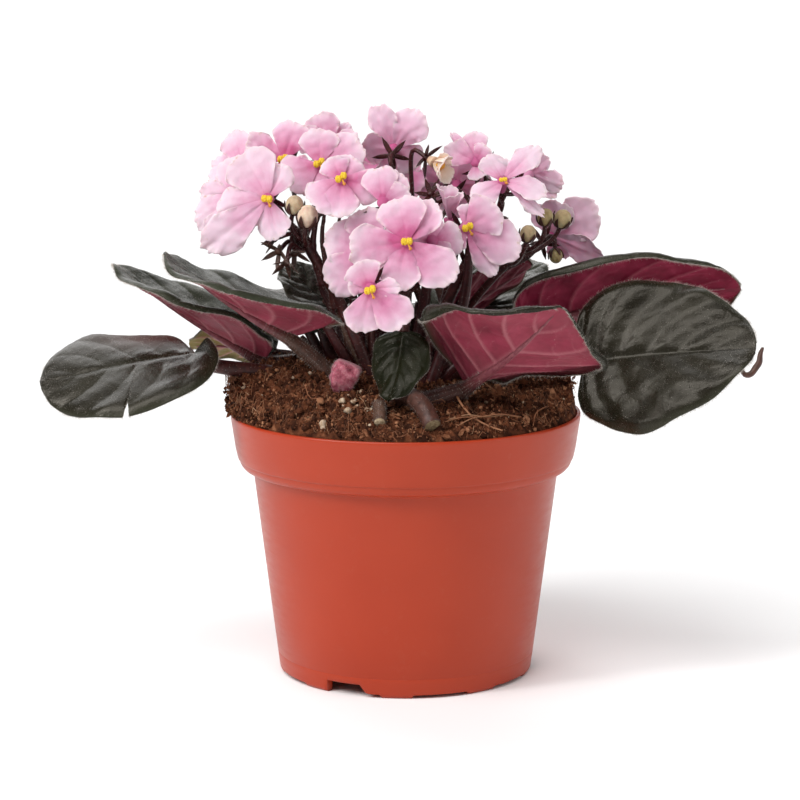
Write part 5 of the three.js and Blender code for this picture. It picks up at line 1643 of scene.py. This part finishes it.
def make_stub(stub, paints):
    """The stub of a cut stalk, its cut end a little rough."""
    source = draws(stub["name"])
    path = stub_route(stub)
    parts = Parts()
    points, faces, out = sweep(path, stub["radius"] * np.linspace(1, STUB_TIP, STUB_STEPS), STUB_SIDES)
    points = points + out * (0.12 * ripple(points, 2.2, 41))[:, None]
    parts.add(points, faces, 0, tone=stub["tone"])
    end, way = path[-1], unit(path[-1] - path[-3])
    side = unit(np.cross(way, [0, 0, 1.0]))
    cap = curve_points([end - way * 0.8, end, end + way * 0.45], len(CUT_EDGE))
    cut, cut_faces, _ = sweep(cap, stub["radius"] * STUB_TIP * CUT_EDGE, STUB_SIDES)
    cut = cut + side * 0.05 * ripple(cut, 1.2, 43)[:, None]
    parts.add(cut, cut_faces, 2, tone=stub["cut_tone"])
    add_limb_hairs(parts, points, out, stub["hairs"], 0.9, 0.028, 1, source)
    piece = parts.make(stub["name"] + "_cut", [paints["stalk"], paints["hair"], paints["cut"]])
    hand_over(piece, stub["name"])


def make_young_leaf(paints):
    """A folded young leaf: a thick crumpled fist on its short stalk, and a smaller bud beside it."""
    source = draws(YOUNG_LEAF["name"])
    parts = Parts()
    girth = YOUNG_LEAF["radius"] * np.interp(np.linspace(0, 1, STUB_STEPS), *YOUNG_GIRTH)
    points, faces, out = sweep(stub_route(YOUNG_LEAF), girth, YOUNG_SIDES)
    corner = 1 - np.max(np.abs(out[:, :2]), axis=1) / np.maximum(np.linalg.norm(out[:, :2], axis=1), 1e-6)
    points = points + out * (YOUNG_CORNER * corner)[:, None]
    crease = 0.55 * ripple(points, 5, 51) + 0.35 * np.abs(ripple(points, 2.4, 52)) - 0.2
    points = points + out * crease[:, None]
    parts.add(points, faces)
    bud_girth = np.interp(np.linspace(0, 1, BUD_STEPS), *BUD_GIRTH)
    bud, bud_faces, bud_normals = sweep(curve_points(YOUNG_BUD, BUD_STEPS), bud_girth, 20)
    parts.add(bud + bud_normals * (0.2 * ripple(bud, 2.5, 53))[:, None], bud_faces)
    add_limb_hairs(parts, points, out, YOUNG_LEAF["hairs"], 0.9, 0.035, 1, source)
    piece = parts.make("young_leaf_fist", [paints["young"], paints["hair"]])
    hand_over(piece, "young_leaf")


# ---- Floor, light and camera ----
def make_stage():
    parts = Parts()
    corners = [[x * FLOOR_REACH, y * FLOOR_REACH, 0] for x, y in ((-1, -1), (1, -1), (1, 1), (-1, 1))]
    parts.add(corners, [[[0, 1, 2, 3]]])
    paint = Paint("pale_floor", Roughness=0.9, Specular_IOR_Level=0.0, Base_Color=(0.93, 0.93, 0.93, 1))
    floor = parts.make("floor", [paint.material])
    world = bpy.data.worlds.new("studio")
    world.use_nodes = True
    background = world.node_tree.nodes["Background"]
    background.inputs["Color"].default_value = (1, 1, 1, 1)
    background.inputs["Strength"].default_value = WORLD_LIGHT
    bpy.context.scene.world = world
    bpy.context.scene.view_settings.view_transform = "Standard"


def add_light(name, kind, azimuth, elevation, power, **settings):
    """A light that shines on the plant from an azimuth (0 is the front, 90 the left) and an elevation."""
    data = bpy.data.lights.new(name, kind)
    data.energy = power
    for key, value in settings.items():
        setattr(data, key, value)
    light = bpy.data.objects.new(name, data)
    bpy.context.scene.collection.objects.link(light)
    turn, high = math.radians(azimuth), math.radians(elevation)
    way = np.array([-math.sin(turn) * math.cos(high), -math.cos(turn) * math.cos(high), math.sin(high)])
    light.location = way * LIGHT_DISTANCE + [0, 0, LIGHT_TARGET]
    light.rotation_euler = (math.pi / 2 - high, 0, -turn)


def make_camera():
    data = bpy.data.cameras.new("camera")
    data.lens = LENS
    data.sensor_width = SENSOR
    data.clip_end = 100
    camera = bpy.data.objects.new("camera", data)
    bpy.context.scene.collection.objects.link(camera)
    camera.location = (EYE + POT_AXIS) * MM
    camera.rotation_euler = (math.radians(90 - CAMERA_PITCH), 0, 0)
    bpy.context.scene.camera = camera


make_stage()
make_camera()
add_light("key", "SUN", 36, 56, 2.0, angle=math.radians(45))
add_light("softbox", "AREA", 58, 31, 4.6, shape="RECTANGLE", size=0.2, size_y=0.4)
add_light("back", "SUN", 168, 42, 1.6, angle=math.radians(60))
add_light("fill", "AREA", -70, 22, 2.6, shape="RECTANGLE", size=0.6, size_y=1.0)

# Petals: colours from the throat to the end.
PETALS = {
    "petal": ((0.5, 0.1, 0.24), (0.67, 0.35, 0.485), (0.74, 0.54, 0.63)),
    "petal_under": ((0.66, 0.3, 0.45), (0.75, 0.43, 0.57), (0.78, 0.54, 0.65)),
    "petal_shaded": ((0.5, 0.09, 0.25), (0.68, 0.25, 0.42), (0.74, 0.4, 0.55)),
    "petal_pale": ((0.74, 0.5, 0.34), (0.8, 0.62, 0.5), (0.84, 0.7, 0.6)),
}
# Leaf tops: dark and light colour, sheen and gloss.
LEAF_TOPS = {
    "leaf_top": ((0.0075, 0.006, 0.003), (0.015, 0.0128, 0.0066), 0.02, 0.29),
    # A darker, less glossy copy for the small front leaf: its darker colours are painted shade.
    "shaded_young_leaf_top": ((0.005, 0.006, 0.002), (0.011, 0.0125, 0.0045), 0.0, 0.12),
    # A lighter copy for the hairy leaves seen at a slant: partly their greyer hairy tone, partly painted
    # sheen.
    "leaf_top_hairy_sheen": ((0.012, 0.013, 0.0075), (0.026, 0.029, 0.017), 0.085, 0.2),
}
PAINTS = {name: petal_paint(name, *colours) for name, colours in PETALS.items()}
PAINTS |= {name: leaf_top_paint(name, *looks) for name, looks in LEAF_TOPS.items()}
PAINTS |= dict(leaf_under=leaf_under_paint(), stalk=stalk_paint(), hair=hair_paint(), anther=anther_paint(),
               bud=bud_paint(), young=young_paint(), cut=cut_paint())

make_pot()
make_soil()
for leaf in LEAVES:
    make_leaf(leaf, PAINTS)
for bloom in BLOOMS:
    measure_bloom(bloom)
    make_bloom(bloom, PAINTS)
    if bloom["name"] in WITH_ANTHERS:
        make_anthers(bloom, PAINTS)
for truss in TRUSSES:
    make_truss(truss, PAINTS)
make_crown(PAINTS)
for stub in STUBS:
    make_stub(stub, PAINTS)
make_young_leaf(PAINTS)
